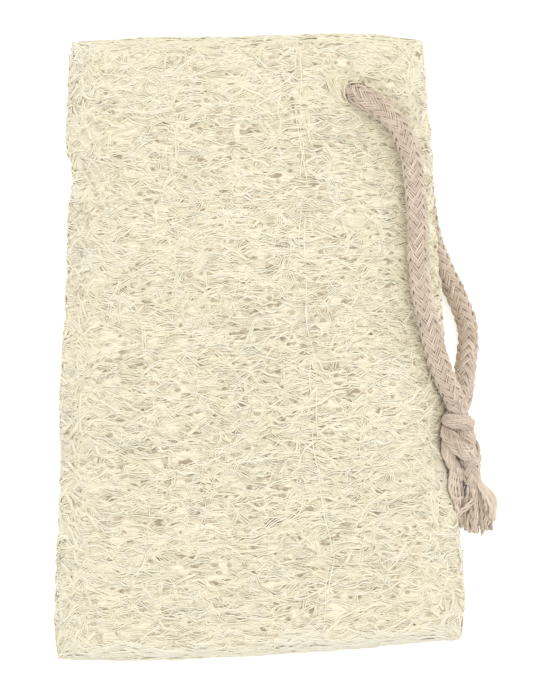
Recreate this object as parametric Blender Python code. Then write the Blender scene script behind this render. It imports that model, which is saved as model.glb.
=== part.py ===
"""Natural loofah pad with a braided cotton hanging cord, every piece at its real size, in metres.

Frame: +X runs across the pad, +Y along it towards the end with the cord's hole, +Z up. The origin is
the middle of the pad's footprint, on the surface that the pad lies on.
"""

import math
import random

import bmesh
import bpy
from mathutils import Matrix, Vector

MM = 0.001

# Pad: a gourd's fibre net, pressed flat
PAD_HALF_WIDTH = 49.6 * MM
PAD_HALF_LENGTH = 75.4 * MM
PAD_THICKNESS = 19.0 * MM
SIDE_ROUNDING = 15.0 * MM
END_ROUNDING = 5.5 * MM
CORNER_ROUNDING = 2.8 * MM
ROUNDING_POWER = 2.2

# Outline of the pad: where its left and right edges lie along Y, and its two ends along X
LEFT_EDGE = ((-75.4, -48.9), (-65.5, -49.6), (-51.1, -49.1), (-31.9, -48.2), (-12.7, -48.4),
             (6.5, -47.4), (20.9, -46.7), (35.3, -46.2), (42.5, -45.3), (49.7, -46.7),
             (59.3, -46.4), (68.9, -46.0), (75.4, -45.6))
RIGHT_EDGE = ((-75.4, 48.8), (-65.5, 49.6), (-60.7, 49.3), (-51.1, 49.0), (-46.3, 48.0),
              (-36.7, 46.3), (-27.1, 44.5), (-21.1, 44.1), (-16.3, 44.8), (-7.9, 44.9),
              (1.7, 44.5), (11.3, 44.0), (20.9, 43.2), (30.5, 42.6), (40.1, 42.1),
              (49.7, 41.6), (59.3, 40.7), (68.9, 40.0), (75.4, 39.6))
FAR_END = ((-49.6, 73.4), (-29.0, 74.4), (-5.0, 74.6), (5.0, 75.1), (24.0, 75.4), (34.0, 74.4), (49.6, 72.6))
NEAR_END = ((-49.6, -75.2), (-29.0, -75.4), (0.0, -74.2), (10.0, -73.4), (24.0, -72.5), (38.5, -71.0),
            (49.6, -70.5))

# Raised net: crests and pits alternate over a lattice that is wide along the fibres and narrow across
NET_ACROSS = 20
NET_ALONG = 84
NET_HIGH = 5
CREST_HEIGHT = 0.5 * MM
PIT_DEPTH = 1.5 * MM
NET_SCATTER = 0.3
LONG_STRANDS = (9.7 * MM, -21.0 * MM)
STRAND_HALF_WIDTH = 1.3 * MM
STRAND_HEIGHT = 0.9 * MM
STRAND_WANDER = 1.3 * MM
STRAND_WAVE = 34.0 * MM
UNDERSIDE_DROP = 0.12 * MM
BOX_SIDE = 0.999999
TINY = 1e-9
SEED = 11

# Flat spots on the underside that the pad rests on: centre X, centre Y, half width, half length
REST_SPOTS = ((0.0, 0.0, 6.0, 4.5), (-34.0, 57.0, 6.0, 4.5), (-36.0, -57.0, 6.0, 4.5),
              (34.0, -57.0, 6.0, 4.5), (10.0, 60.0, 6.0, 4.5))

# Cord: a soft braid, knotted in a loop through the pad
CORD_DIAMETER = 5.4 * MM
CORD_GAP = 0.35 * MM
CORD_STEP = 4.2 * MM
CORD_ROUTE = ((47.0, -13.5, 15.9), (45.9, -10.8, 16.4), (44.5, -7.9, 17.3), (42.8, -3.6, 18.7),
              (41.4, 1.2, 19.9), (40.0, 7.0, 20.8), (38.6, 13.7, 21.2), (37.9, 22.1, 21.3),
              (37.7, 30.5, 21.3), (37.2, 37.7, 21.3), (36.2, 44.9, 21.4), (34.3, 50.6, 21.8),
              (32.2, 53.8, 22.2), (29.4, 56.6, 22.2), (25.3, 59.2, 20.9), (22.6, 60.9, 17.4),
              (21.6, 61.5, 12.6), (22.5, 60.9, 7.7), (25.4, 59.3, 4.2), (29.6, 56.7, 2.75),
              (33.3, 53.6, 2.7), (36.2, 49.6, 2.7), (38.0, 44.5, 2.7), (39.2, 39.0, 2.7),
              (40.1, 33.5, 2.7), (40.9, 28.5, 2.7), (42.0, 24.3, 2.7), (43.6, 20.4, 2.7),
              (45.7, 16.0, 2.7), (47.9, 11.2, 2.7), (49.7, 6.5, 2.75), (50.3, 1.7, 3.4),
              (49.8, -3.1, 5.2), (49.2, -7.9, 7.7), (48.5, -12.9, 10.1))
CHANNEL_DROP = 2.4 * MM

# Knot: the doubled cord's overhand knot, drawn tight against the pad's rim
KNOT_CENTRE = Vector((47.5, -20.6, 13.1)) * MM
KNOT_CORE_RADIUS = 3.1 * MM
KNOT_CORE_NARROWING = 0.12
KNOT_CORE_LEAD = 3.2 * MM
KNOT_TOP = -15.6 * MM
ENTERING_RADIUS = 2.5 * MM
ENTERING_STRAIGHT = 1.8 * MM
# Turns of cord round the core, in mm: centre from the knot's, half width, half height, lean, turn, radius
KNOT_COLLAR = ((0.0, 3.1, 1.3), 3.1, 2.3, 1.3, 1.57, 1.75)
KNOT_BAND = ((0.7, -1.9, 0.3), 2.6, 2.5, -2.5, 1.05, 2.05)
TURN_POINTS = 14
# Strands that show beside the core, in mm: points from the knot's centre, cord radius
KNOT_SHOULDER = (((1.6, 3.0, 0.4), (2.2, 0.6, 0.7), (3.2, -3.4, 0.2)), 1.8)
KNOT_LEAVING = (((-2.4, -1.2, 1.3), (-2.6, -3.8, 1.5), (-1.8, -6.2, 1.1)), 1.6)

# Tassel: the two ends, frayed into yarns in two layers that fan out down to the surface
TASSEL_TOP = Vector((50.2, -27.4, 11.4)) * MM
TASSEL_NECK = Vector((50.5, -32.6, 8.6)) * MM
TASSEL_NECK_RADIUS = 2.4 * MM
TASSEL_NECK_RISE = 0.3 * MM
TASSEL_NECK_TAPER = (1.15, 0.9)
YARN_RADIUS = 0.85 * MM
YARN_COUNT = 15
YARN_FAN = (47.0 * MM, 56.3 * MM)
YARN_SHORT_END = -38.2 * MM
YARN_LONG_END = -44.9 * MM
YARN_END_SCATTER = 0.8 * MM
# Second end of the cord, thinner, that comes down on the pad's side with the leftmost yarns
SIDE_NECK = (Vector((47.15, -29.4, 12.2)) * MM, Vector((48.0, -31.9, 9.4)) * MM)
SIDE_NECK_RADIUS = 1.6 * MM
SIDE_YARN_SHARE = 0.25
# How wide and how deep the yarns stand at their roots inside the neck, and where they leave it
YARN_ROOT_SPREAD = (2.6 * MM, 1.3 * MM)
YARN_LEAVING_SPREAD = (4.0 * MM, 1.4 * MM)
YARN_BEND = 0.5 * MM
# How far the outermost yarn bows out between the neck and its end
YARN_BOW = 1.8 * MM
YARN_STEP = 2.6 * MM


def on_curve(a, b, c, d, t):
    """Point at t between b and c on the Catmull-Rom curve through four values."""
    square, cube = 2 * a - 5 * b + 4 * c - d, 3 * b - a - 3 * c + d
    return 0.5 * (2 * b + (c - a) * t + square * t * t + cube * t ** 3)


def level_at(table, place):
    """Second value of a table of (place, value) in mm, on a smooth curve, for a place in metres."""
    place = min(max(place / MM, table[0][0]), table[-1][0])
    for n in range(len(table) - 1):
        if place <= table[n + 1][0]:
            break
    values = [table[min(max(m, 0), len(table) - 1)][1] for m in (n - 1, n, n + 1, n + 2)]
    t = (place - table[n][0]) / (table[n + 1][0] - table[n][0])
    return on_curve(*values, t) * MM


def even_points(points, step, samples=12):
    """Points about a step apart on the smooth curve through the given points."""
    ends = [2 * points[0] - points[1], *points, 2 * points[-1] - points[-2]]
    fine = [on_curve(*ends[n:n + 4], s / samples) for n in range(len(points) - 1) for s in range(samples)]
    fine.append(points[-1])
    lengths = [0.0]
    for a, b in zip(fine, fine[1:]):
        lengths.append(lengths[-1] + (b - a).length)
    count = max(2, round(lengths[-1] / step))
    result, n = [], 0
    for m in range(count + 1):
        want = lengths[-1] * m / count
        while n < len(fine) - 2 and lengths[n + 1] < want:
            n += 1
        part = (want - lengths[n]) / (lengths[n + 1] - lengths[n])
        result.append(fine[n].lerp(fine[n + 1], min(part, 1.0)))
    return result


def plain_material(name, colour, roughness):
    """Principled material of one colour."""
    material = bpy.data.materials.new(name)
    material.use_nodes = True
    shader = material.node_tree.nodes["Principled BSDF"]
    shader.inputs["Base Color"].default_value = (*colour, 1.0)
    shader.inputs["Roughness"].default_value = roughness
    shader.inputs["Metallic"].default_value = 0.0
    return material


def new_collection(name):
    """Collection linked to the scene."""
    collection = bpy.data.collections.new(name)
    bpy.context.scene.collection.children.link(collection)
    return collection


def tube_curve(name, points, radius, collection, sides=3, cyclic=False, taper=None):
    """Curve object: a tube through the points, with filled caps where it is open."""
    curve = bpy.data.curves.new(name, "CURVE")
    curve.dimensions = "3D"
    curve.bevel_depth = radius
    curve.bevel_resolution = sides
    curve.use_fill_caps = not cyclic
    spline = curve.splines.new("POLY")
    spline.points.add(len(points) - 1)
    for n, (target, point) in enumerate(zip(spline.points, points)):
        target.co = (*point, 1.0)
        target.radius = taper(n / (len(points) - 1)) if taper else 1.0
    spline.use_cyclic_u = cyclic
    tube = bpy.data.objects.new(name, curve)
    collection.objects.link(tube)
    return tube


def mesh_from_curve(tube, collection):
    """Mesh object with a curve object's shape and closed caps, in the curve's place."""
    bpy.context.view_layer.update()
    evaluated = tube.evaluated_get(bpy.context.evaluated_depsgraph_get())
    mesh = bpy.data.meshes.new_from_object(evaluated)
    bm = bmesh.new()
    bm.from_mesh(mesh)
    bmesh.ops.remove_doubles(bm, verts=bm.verts, dist=0.00001)
    bmesh.ops.recalc_face_normals(bm, faces=bm.faces)
    bm.to_mesh(mesh)
    bm.free()
    name, place = tube.name, tube.matrix_world.copy()
    bpy.data.objects.remove(tube)
    solid = bpy.data.objects.new(name, mesh)
    solid.matrix_world = place
    collection.objects.link(solid)
    return solid


def apply_boolean(target, operation, collection, solver="EXACT"):
    """Join to the target, or cut from it, all the solids of a collection."""
    modifier = target.modifiers.new("Boolean", "BOOLEAN")
    modifier.operation = operation
    modifier.operand_type = "COLLECTION"
    modifier.collection = collection
    modifier.solver = solver
    bpy.context.view_layer.update()
    evaluated = target.evaluated_get(bpy.context.evaluated_depsgraph_get())
    mesh = bpy.data.meshes.new_from_object(evaluated)
    target.modifiers.clear()
    target.data = mesh


def drop_scraps(solid):
    """Keep an object's largest connected piece and drop what a cut left loose."""
    bm = bmesh.new()
    bm.from_mesh(solid.data)
    left, pieces = set(bm.verts), []
    while left:
        piece, edge = set(), [left.pop()]
        while edge:
            vert = edge.pop()
            piece.add(vert)
            near = {link.other_vert(vert) for link in vert.link_edges} & left
            left -= near
            edge.extend(near)
        pieces.append(piece)
    largest = max(pieces, key=len)
    loose = [vert for piece in pieces if piece is not largest for vert in piece]
    bmesh.ops.delete(bm, geom=loose, context="VERTS")
    bm.to_mesh(solid.data)
    bm.free()


def fuse(name, solids, material, parts, workshop):
    """One object from overlapping solids, which are removed."""
    first, rest = solids[0], solids[1:]
    pile = bpy.data.collections.new(name + "_pile")
    workshop.children.link(pile)
    for solid in rest:
        pile.objects.link(solid)
    apply_boolean(first, "UNION", pile)
    for solid in rest:
        bpy.data.objects.remove(solid)
    bpy.data.collections.remove(pile)
    for holder in list(first.users_collection):
        holder.objects.unlink(first)
    parts.objects.link(first)
    first.name = name
    first.data.materials.clear()
    first.data.materials.append(material)
    return first


def rounded(along, high, half, rounding):
    """Where a point of a box's section lands on the one with rounded ends: along it, and height 0 to 1."""
    core = half - rounding
    past = max(abs(along) - core, 0.0) / rounding
    size = max((past ** ROUNDING_POWER + abs(high) ** ROUNDING_POWER) ** (1 / ROUNDING_POWER), TINY)
    if past > 0:
        along = math.copysign(core + rounding * past / size, along)
    return along, high / size


def edge_height(place, half, rounding):
    """Height, 0 to 1, of the rounded section's upper face at a place from -1 to 1 along it."""
    return rounded(place * half, 1.0, half, rounding)[1]


def pad_point(across, along, high):
    """Smooth pad's surface point, from a point on the surface of a box with sides from -1 to 1."""
    x, height_x = rounded(across * PAD_HALF_WIDTH, high, PAD_HALF_WIDTH, SIDE_ROUNDING)
    y, height_y = rounded(along * PAD_HALF_LENGTH, high, PAD_HALF_LENGTH, END_ROUNDING)
    if abs(along) > BOX_SIDE:
        level = height_y * edge_height(across, PAD_HALF_WIDTH, SIDE_ROUNDING)
    else:
        level = height_x * edge_height(along, PAD_HALF_LENGTH, END_ROUNDING)
    corner_x = (abs(x) - (PAD_HALF_WIDTH - CORNER_ROUNDING)) / CORNER_ROUNDING
    corner_y = (abs(y) - (PAD_HALF_LENGTH - CORNER_ROUNDING)) / CORNER_ROUNDING
    if corner_x > 0 and corner_y > 0:
        pull = 1 - max(corner_x, corner_y) / math.hypot(corner_x, corner_y)
        x -= math.copysign(corner_x * pull * CORNER_ROUNDING, x)
        y -= math.copysign(corner_y * pull * CORNER_ROUNDING, y)
    left, right = level_at(LEFT_EDGE, y), level_at(RIGHT_EDGE, y)
    place_x = (left + right) / 2 + x / PAD_HALF_WIDTH * (right - left) / 2
    near, far = level_at(NEAR_END, place_x), level_at(FAR_END, place_x)
    place_y = (near + far) / 2 + y / PAD_HALF_LENGTH * (far - near) / 2
    return Vector((place_x, place_y, PAD_THICKNESS / 2 * (1 + level)))


def lattice_places(count, half, strands=()):
    """Places of the lattice's planes from -1 to 1, with three close ones at each long strand."""
    places = [2 * n / count - 1 for n in range(count + 1)]
    for strand in strands:
        middle = strand / half
        side = STRAND_HALF_WIDTH / half
        nearest = min(range(1, count), key=lambda n: abs(places[n] - middle))
        places[nearest] = middle
        places += [middle - side, middle + side]
    return sorted(places)


def net_lattice(bm):
    """Box with sides from -1 to 1, cut along the planes of the lattice, and each vertex's steps along it."""
    bmesh.ops.create_cube(bm, size=2.0)
    planes = (lattice_places(NET_ACROSS, PAD_HALF_WIDTH, LONG_STRANDS),
              lattice_places(NET_ALONG, PAD_HALF_LENGTH),
              lattice_places(NET_HIGH, PAD_THICKNESS))
    for axis, places in enumerate(planes):
        normal = Vector([float(n == axis) for n in range(3)])
        for place in places[1:-1]:
            everything = [*bm.verts, *bm.edges, *bm.faces]
            bmesh.ops.bisect_plane(bm, geom=everything, plane_co=normal * place, plane_no=normal, dist=1e-6)
    steps = {}
    for vert in bm.verts:
        steps[vert] = [min(range(len(places)), key=lambda n: abs(places[n] - vert.co[axis]))
                       for axis, places in enumerate(planes)]
    return planes, steps


def split_along_crests(bm, crests):
    """Each four-sided face becomes two triangles that share the edge between its two crests."""
    for face in list(bm.faces):
        high = [vert for vert in face.verts if vert in crests]
        bmesh.utils.face_split(face, high[0], high[1])


def in_rest_spot(point):
    """True on a flat spot of the underside."""
    return any(abs(point.x - x * MM) <= half_x * MM and abs(point.y - y * MM) <= half_y * MM
               for x, y, half_x, half_y in REST_SPOTS)


def room_beside(vert, steps, axis):
    """Shortest step along one axis of the lattice from a vertex to its neighbours."""
    others = [edge.other_vert(vert) for edge in vert.link_edges]
    moves = [(other, [b - a for a, b in zip(steps[vert], steps[other])]) for other in others]
    lengths = [(other.co - vert.co).length for other, move in moves
               if move[axis] and sum(map(abs, move)) == 1]
    return min(lengths, default=0.0)


def net_height(vert, crests, beside_strand, draw):
    """How far a vertex of the net stands out of the smooth pad, or lies below it."""
    if beside_strand < 1e-6:
        return STRAND_HEIGHT * draw.uniform(0.7, 1.0)
    if vert in crests:
        return CREST_HEIGHT * draw.uniform(0.2, 1.0)
    return -PIT_DEPTH * draw.uniform(0.35, 1.0)


def raise_net(bm, planes, steps, crests, draw):
    """Move each vertex to its place on the pad, then up to a crest or down into a pit of the net."""
    verts = sorted(bm.verts, key=lambda v: steps[v])
    for vert in verts:
        vert.co = pad_point(*vert.co)
    bm.normal_update()
    moves = []
    for vert in verts:
        place = planes[0][steps[vert][0]] * PAD_HALF_WIDTH
        beside_strand = min(abs(place - strand) for strand in LONG_STRANDS)
        height = net_height(vert, crests, beside_strand, draw)
        aside = [room_beside(vert, steps, axis) * draw.uniform(-NET_SCATTER, NET_SCATTER) for axis in (0, 1)]
        move = Vector((*aside, 0.0))
        if beside_strand < STRAND_HALF_WIDTH * 1.1:
            move.x = STRAND_WANDER * math.sin((vert.co.y + place) * 2 * math.pi / STRAND_WAVE)
        under = vert.normal.z < -0.8
        if under and in_rest_spot(vert.co):
            moves.append((vert, Vector((0.0, 0.0, -vert.co.z))))
            continue
        if under:
            height = min(height, -UNDERSIDE_DROP)
        if abs(vert.normal.z) < 0.8:
            move.zero()
        moves.append((vert, move + vert.normal * height))
    for vert, move in moves:
        vert.co += move


def build_pad(parts, workshop, cord_points):
    """The loofah: a pressed slab with its net raised all over it, and hollows where the cord runs."""
    draw = random.Random(SEED)
    mesh = bpy.data.meshes.new("loofah_pad")
    bm = bmesh.new()
    planes, steps = net_lattice(bm)
    crests = {vert for vert in bm.verts if sum(steps[vert]) % 2}
    split_along_crests(bm, crests)
    raise_net(bm, planes, steps, crests, draw)
    low = Vector([min(vert.co[axis] for vert in bm.verts) for axis in range(3)])
    high = Vector([max(vert.co[axis] for vert in bm.verts) for axis in range(3)])
    centre = (low + high) / 2
    bmesh.ops.translate(bm, verts=bm.verts, vec=(-centre.x, -centre.y, 0.0))
    bm.to_mesh(mesh)
    bm.free()
    pad = bpy.data.objects.new("loofah_pad", mesh)
    parts.objects.link(pad)
    pad.data.materials.append(plain_material("loofah_fibre", (0.80, 0.73, 0.56), 0.85))

    clear = CORD_DIAMETER / 2 + CORD_GAP
    way = tube_curve("cord_way", cord_points, clear, workshop, 3)
    low_points = [point - Vector((0, 0, CHANNEL_DROP)) for point in cord_points if point.z < CORD_DIAMETER]
    open_way = tube_curve("cord_way_open", low_points, clear, workshop, 3)
    for tube in (way, open_way):
        cutter = mesh_from_curve(tube, workshop)
        cutter.hide_render = True
        cutter.display_type = "WIRE"
    apply_boolean(pad, "DIFFERENCE", workshop)
    drop_scraps(pad)
    return pad


def build_cord(parts, points):
    """The braid's plain tube, from the knot over the pad, through it, under it and back to the knot."""
    cord = tube_curve("cord_loop", points, CORD_DIAMETER / 2, parts)
    cord.data.materials.append(plain_material("cord_cotton", (0.64, 0.53, 0.42), 0.9))
    return cord


def knot_turn(name, turn, workshop):
    """Closed turn of cord round the knot's core, leaning along Y and turned about it."""
    offset, half_x, half_z, lean, about, radius = turn
    points = []
    for n in range(TURN_POINTS):
        angle = 2 * math.pi * n / TURN_POINTS
        flat = Vector((math.cos(angle) * half_x, math.sin(angle) * lean, math.sin(angle) * half_z))
        points.append(KNOT_CENTRE + (Vector(offset) + Matrix.Rotation(about, 3, "Y") @ flat) * MM)
    return tube_curve(name, points, radius * MM, workshop, 2, True)


def knot_strand(name, strand, workshop):
    """Short strand that shows beside the knot's core."""
    offsets, radius = strand
    points = [KNOT_CENTRE + Vector(offset) * MM for offset in offsets]
    return tube_curve(name, points, radius * MM, workshop, 2)


def entering_strand(end, before, workshop):
    """Tube that carries on a cord end, a gap past it, into the middle of the knot."""
    way = (end - before).normalized()
    middle = KNOT_CENTRE + Vector((0, 1, 0)) * MM
    points = even_points([end + way * CORD_GAP, end + way * ENTERING_STRAIGHT, middle], 1.6 * MM)
    points[1] = points[0] + way * (points[1] - points[0]).length
    return tube_curve("entering", points, ENTERING_RADIUS, workshop, 3)


def build_knot(parts, workshop, cord_points):
    """Overhand knot: entering strands, core, collar, leaning band and the strands beside it."""
    leave_way = (TASSEL_NECK - TASSEL_TOP).normalized()
    core_points = [Vector((KNOT_CENTRE.x, KNOT_TOP, KNOT_CENTRE.z)),
                   KNOT_CENTRE + Vector((0.0, 2.0, 0.2)) * MM,
                   TASSEL_TOP - leave_way * KNOT_CORE_LEAD,
                   TASSEL_TOP - leave_way * CORD_GAP]
    core = tube_curve("core", core_points, KNOT_CORE_RADIUS, workshop, 3,
                      taper=lambda t: 1 - KNOT_CORE_NARROWING * t)
    around = [knot_turn("collar", KNOT_COLLAR, workshop),
              knot_turn("band", KNOT_BAND, workshop),
              knot_strand("shoulder", KNOT_SHOULDER, workshop),
              knot_strand("leaving", KNOT_LEAVING, workshop)]
    entering = [entering_strand(cord_points[0], cord_points[1], workshop),
                entering_strand(cord_points[-1], cord_points[-2], workshop)]
    solids = [mesh_from_curve(tube, workshop) for tube in (core, *around, *entering)]
    cotton = plain_material("knot_cotton", (0.63, 0.53, 0.42), 0.9)
    return fuse("cord_knot", solids, cotton, parts, workshop)


def yarn_points(number, draw):
    """Points along one yarn, from its root in the neck to its end on the surface."""
    spread = number / (YARN_COUNT - 1)
    layer = number % 2
    on_side = spread < SIDE_YARN_SHARE
    root, leave = SIDE_NECK if on_side else (TASSEL_TOP.lerp(TASSEL_NECK, 0.55), TASSEL_NECK)
    beside, above = spread - (SIDE_YARN_SHARE / 2 if on_side else 0.5), layer - 0.5
    reach = math.sin(math.pi * (0.12 + 0.72 * spread)) ** 0.6
    end_x = YARN_FAN[0] + (YARN_FAN[1] - YARN_FAN[0]) * spread
    end_y = YARN_SHORT_END + (YARN_LONG_END - YARN_SHORT_END) * reach
    end_y += draw.uniform(-YARN_END_SCATTER, YARN_END_SCATTER)
    end = Vector((end_x, end_y, YARN_RADIUS * (1.25 + 1.9 * layer)))
    root = root + Vector((beside * YARN_ROOT_SPREAD[0], 0, above * YARN_ROOT_SPREAD[1]))
    leave = leave + Vector((beside * YARN_LEAVING_SPREAD[0], 0, above * YARN_LEAVING_SPREAD[1]))
    sway, rise = draw.uniform(-YARN_BEND, YARN_BEND), YARN_BEND + draw.uniform(0, YARN_BEND)
    bow = YARN_BOW * max(2 * spread - 1, 0.0) ** 2
    bend = leave.lerp(end, 0.5) + Vector((sway + bow, 0, rise))
    return even_points([root, leave, bend, end], YARN_STEP)


def build_tassel(parts, workshop):
    """Frayed ends: two short braided necks, side by side, that open into one fan of yarns."""
    draw = random.Random(SEED)
    middle = TASSEL_TOP.lerp(TASSEL_NECK, 0.5) + Vector((0, 0, TASSEL_NECK_RISE))
    wide, narrow = TASSEL_NECK_TAPER
    neck = tube_curve("neck", [TASSEL_TOP, middle, TASSEL_NECK], TASSEL_NECK_RADIUS, workshop, 3,
                      taper=lambda t: wide + (narrow - wide) * t)
    yarns = [tube_curve(f"yarn_{n}", yarn_points(n, draw), YARN_RADIUS, workshop, 1)
             for n in range(YARN_COUNT)]
    before, last = (KNOT_CENTRE + Vector(offset) * MM for offset in KNOT_LEAVING[0][-2:])
    way = (last - before).normalized()
    side_points = even_points([last + way * CORD_GAP, *SIDE_NECK], 1.5 * MM)
    side_points[1] = side_points[0] + way * (side_points[1] - side_points[0]).length
    side_neck = tube_curve("side_neck", side_points, SIDE_NECK_RADIUS, workshop, 2)
    solids = [mesh_from_curve(tube, workshop) for tube in (neck, side_neck, *yarns)]
    cotton = plain_material("tassel_cotton", (0.66, 0.56, 0.44), 0.95)
    return fuse("cord_tassel", solids, cotton, parts, workshop)


def build():
    """All the pieces, in a collection named for the object, with the cutters in another."""
    for old in list(bpy.data.objects):
        bpy.data.objects.remove(old)
    parts = new_collection("natural_loofah_sponge")
    workshop = new_collection("cutters")
    cord_points = even_points([Vector(p) * MM for p in CORD_ROUTE], CORD_STEP)
    build_pad(parts, workshop, cord_points)
    build_cord(parts, cord_points)
    build_knot(parts, workshop, cord_points)
    build_tassel(parts, workshop)


build()
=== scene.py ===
"""Looks of the natural loofah pad and its knotted, braided cotton cord, in metres, around the solid frame.

Frame: +X runs across the pad, +Y along it towards the end with the cord's hole, +Z up out of its face.
"""

from __future__ import annotations

import logging
import math
from dataclasses import dataclass, field
from enum import Enum

import bmesh
import bpy
import numpy as np
from mathutils import Euler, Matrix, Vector

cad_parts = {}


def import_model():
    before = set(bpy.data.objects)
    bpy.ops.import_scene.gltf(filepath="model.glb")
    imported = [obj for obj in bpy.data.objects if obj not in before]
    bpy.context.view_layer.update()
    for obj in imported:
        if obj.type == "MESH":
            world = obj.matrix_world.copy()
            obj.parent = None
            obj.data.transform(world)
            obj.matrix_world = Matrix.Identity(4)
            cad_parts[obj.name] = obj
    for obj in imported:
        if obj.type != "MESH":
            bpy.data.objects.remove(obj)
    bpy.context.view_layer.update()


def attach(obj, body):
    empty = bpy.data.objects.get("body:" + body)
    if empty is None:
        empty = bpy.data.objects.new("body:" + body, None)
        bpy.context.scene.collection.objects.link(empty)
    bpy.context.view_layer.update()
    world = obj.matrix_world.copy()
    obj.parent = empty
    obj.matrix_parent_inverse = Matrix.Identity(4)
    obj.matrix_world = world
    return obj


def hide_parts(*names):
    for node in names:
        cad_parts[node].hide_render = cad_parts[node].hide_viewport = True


LOG = logging.getLogger("loofah")
MM = 0.001
ROOT = "root"
FIBRE_SLOT = "loofah_fibre"
COTTON_SLOT = "cord_cotton"

Array = np.ndarray


class Face(Enum):
    """Side of the pad that a patch of net covers."""

    AROUND = "around"
    FAR_END = "far_end"
    NEAR_END = "near_end"


@dataclass(frozen=True)
class FibreFinish:
    """Dry gourd fibre: cream threads, with painted shade that makes them darker where they lie deep and
    beside the cord.

    Attributes:
        deep: darkest colour, which the deepest threads and those beside the cord take as painted shade.
        middle: colour of the usual thread.
        pale: colour of the palest threads.
        roughness: how matt the threads are.
        grain_scale: grains per metre.
        grain_share: how far the grain shifts a thread's tone.
        stain_scale: stains per metre.
        stain_share: how far a stain shifts a thread's tone.
        balance: what is taken off again, so that the tones keep their middle.
        bump: strength of the grain's relief.
        patch_scale: patches of cooler or warmer fibre per metre.
        cool: tint of the cooler patches.
        warm: tint of the warmer patches.
    """

    deep: tuple[float, float, float] = (0.742, 0.675, 0.513)
    middle: tuple[float, float, float] = (0.80, 0.746, 0.588)
    pale: tuple[float, float, float] = (0.832, 0.796, 0.660)
    roughness: float = 0.62
    grain_scale: float = 900.0
    grain_share: float = 0.22
    stain_scale: float = 45.0
    stain_share: float = 0.10
    balance: float = 0.16
    bump: float = 0.25
    patch_scale: float = 150.0
    cool: tuple[float, float, float] = (0.993, 0.997, 1.005)
    warm: tuple[float, float, float] = (1.0, 0.995, 0.955)

    def material(self, name: str) -> bpy.types.Material:
        """Build the thread material, coloured by each thread's own tone and a fine grain.

        Args:
            name: name of the new material.

        Returns:
            The material.
        """
        shop = NodeShop(name)
        tone = shop.add("ShaderNodeAttribute")
        tone.attribute_name = "tone"
        coords = shop.add("ShaderNodeTexCoord")
        grain = shop.noise(coords.outputs["Object"], self.grain_scale, 3.0)
        stain = shop.noise(coords.outputs["Object"], self.stain_scale, 2.0)
        mixed = shop.math("MULTIPLY_ADD", grain.outputs["Fac"], self.grain_share, tone.outputs["Fac"])
        shifted = shop.math("MULTIPLY_ADD", stain.outputs["Fac"], self.stain_share, mixed)
        centred = shop.math("SUBTRACT", shifted, self.balance)
        ramp = shop.ramp(centred, ((0.0, self.deep), (0.45, self.middle), (1.0, self.pale)))
        patch = shop.noise(coords.outputs["Object"], self.patch_scale, 2.0)
        tint = shop.ramp(patch.outputs["Fac"], ((0.38, self.cool), (0.62, self.warm)))
        tinted = shop.add("ShaderNodeMix")
        tinted.data_type, tinted.blend_type = "RGBA", "MULTIPLY"
        tinted.inputs["Factor"].default_value = 1.0
        shop.link(ramp, tinted.inputs["A"])
        shop.link(tint, tinted.inputs["B"])
        bump = shop.add("ShaderNodeBump")
        bump.inputs["Strength"].default_value = self.bump
        bump.inputs["Distance"].default_value = 0.1 * MM
        shop.link(grain.outputs["Fac"], bump.inputs["Height"])
        shop.link(tinted.outputs["Result"], shop.shader.inputs["Base Color"])
        shop.link(bump.outputs["Normal"], shop.shader.inputs["Normal"])
        shop.shader.inputs["Roughness"].default_value = self.roughness
        shop.shader.inputs["Sheen Weight"].default_value = 0.2
        shop.shader.inputs["Sheen Roughness"].default_value = 0.6
        shop.shader.inputs["Specular IOR Level"].default_value = 0.35
        return shop.material


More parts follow.
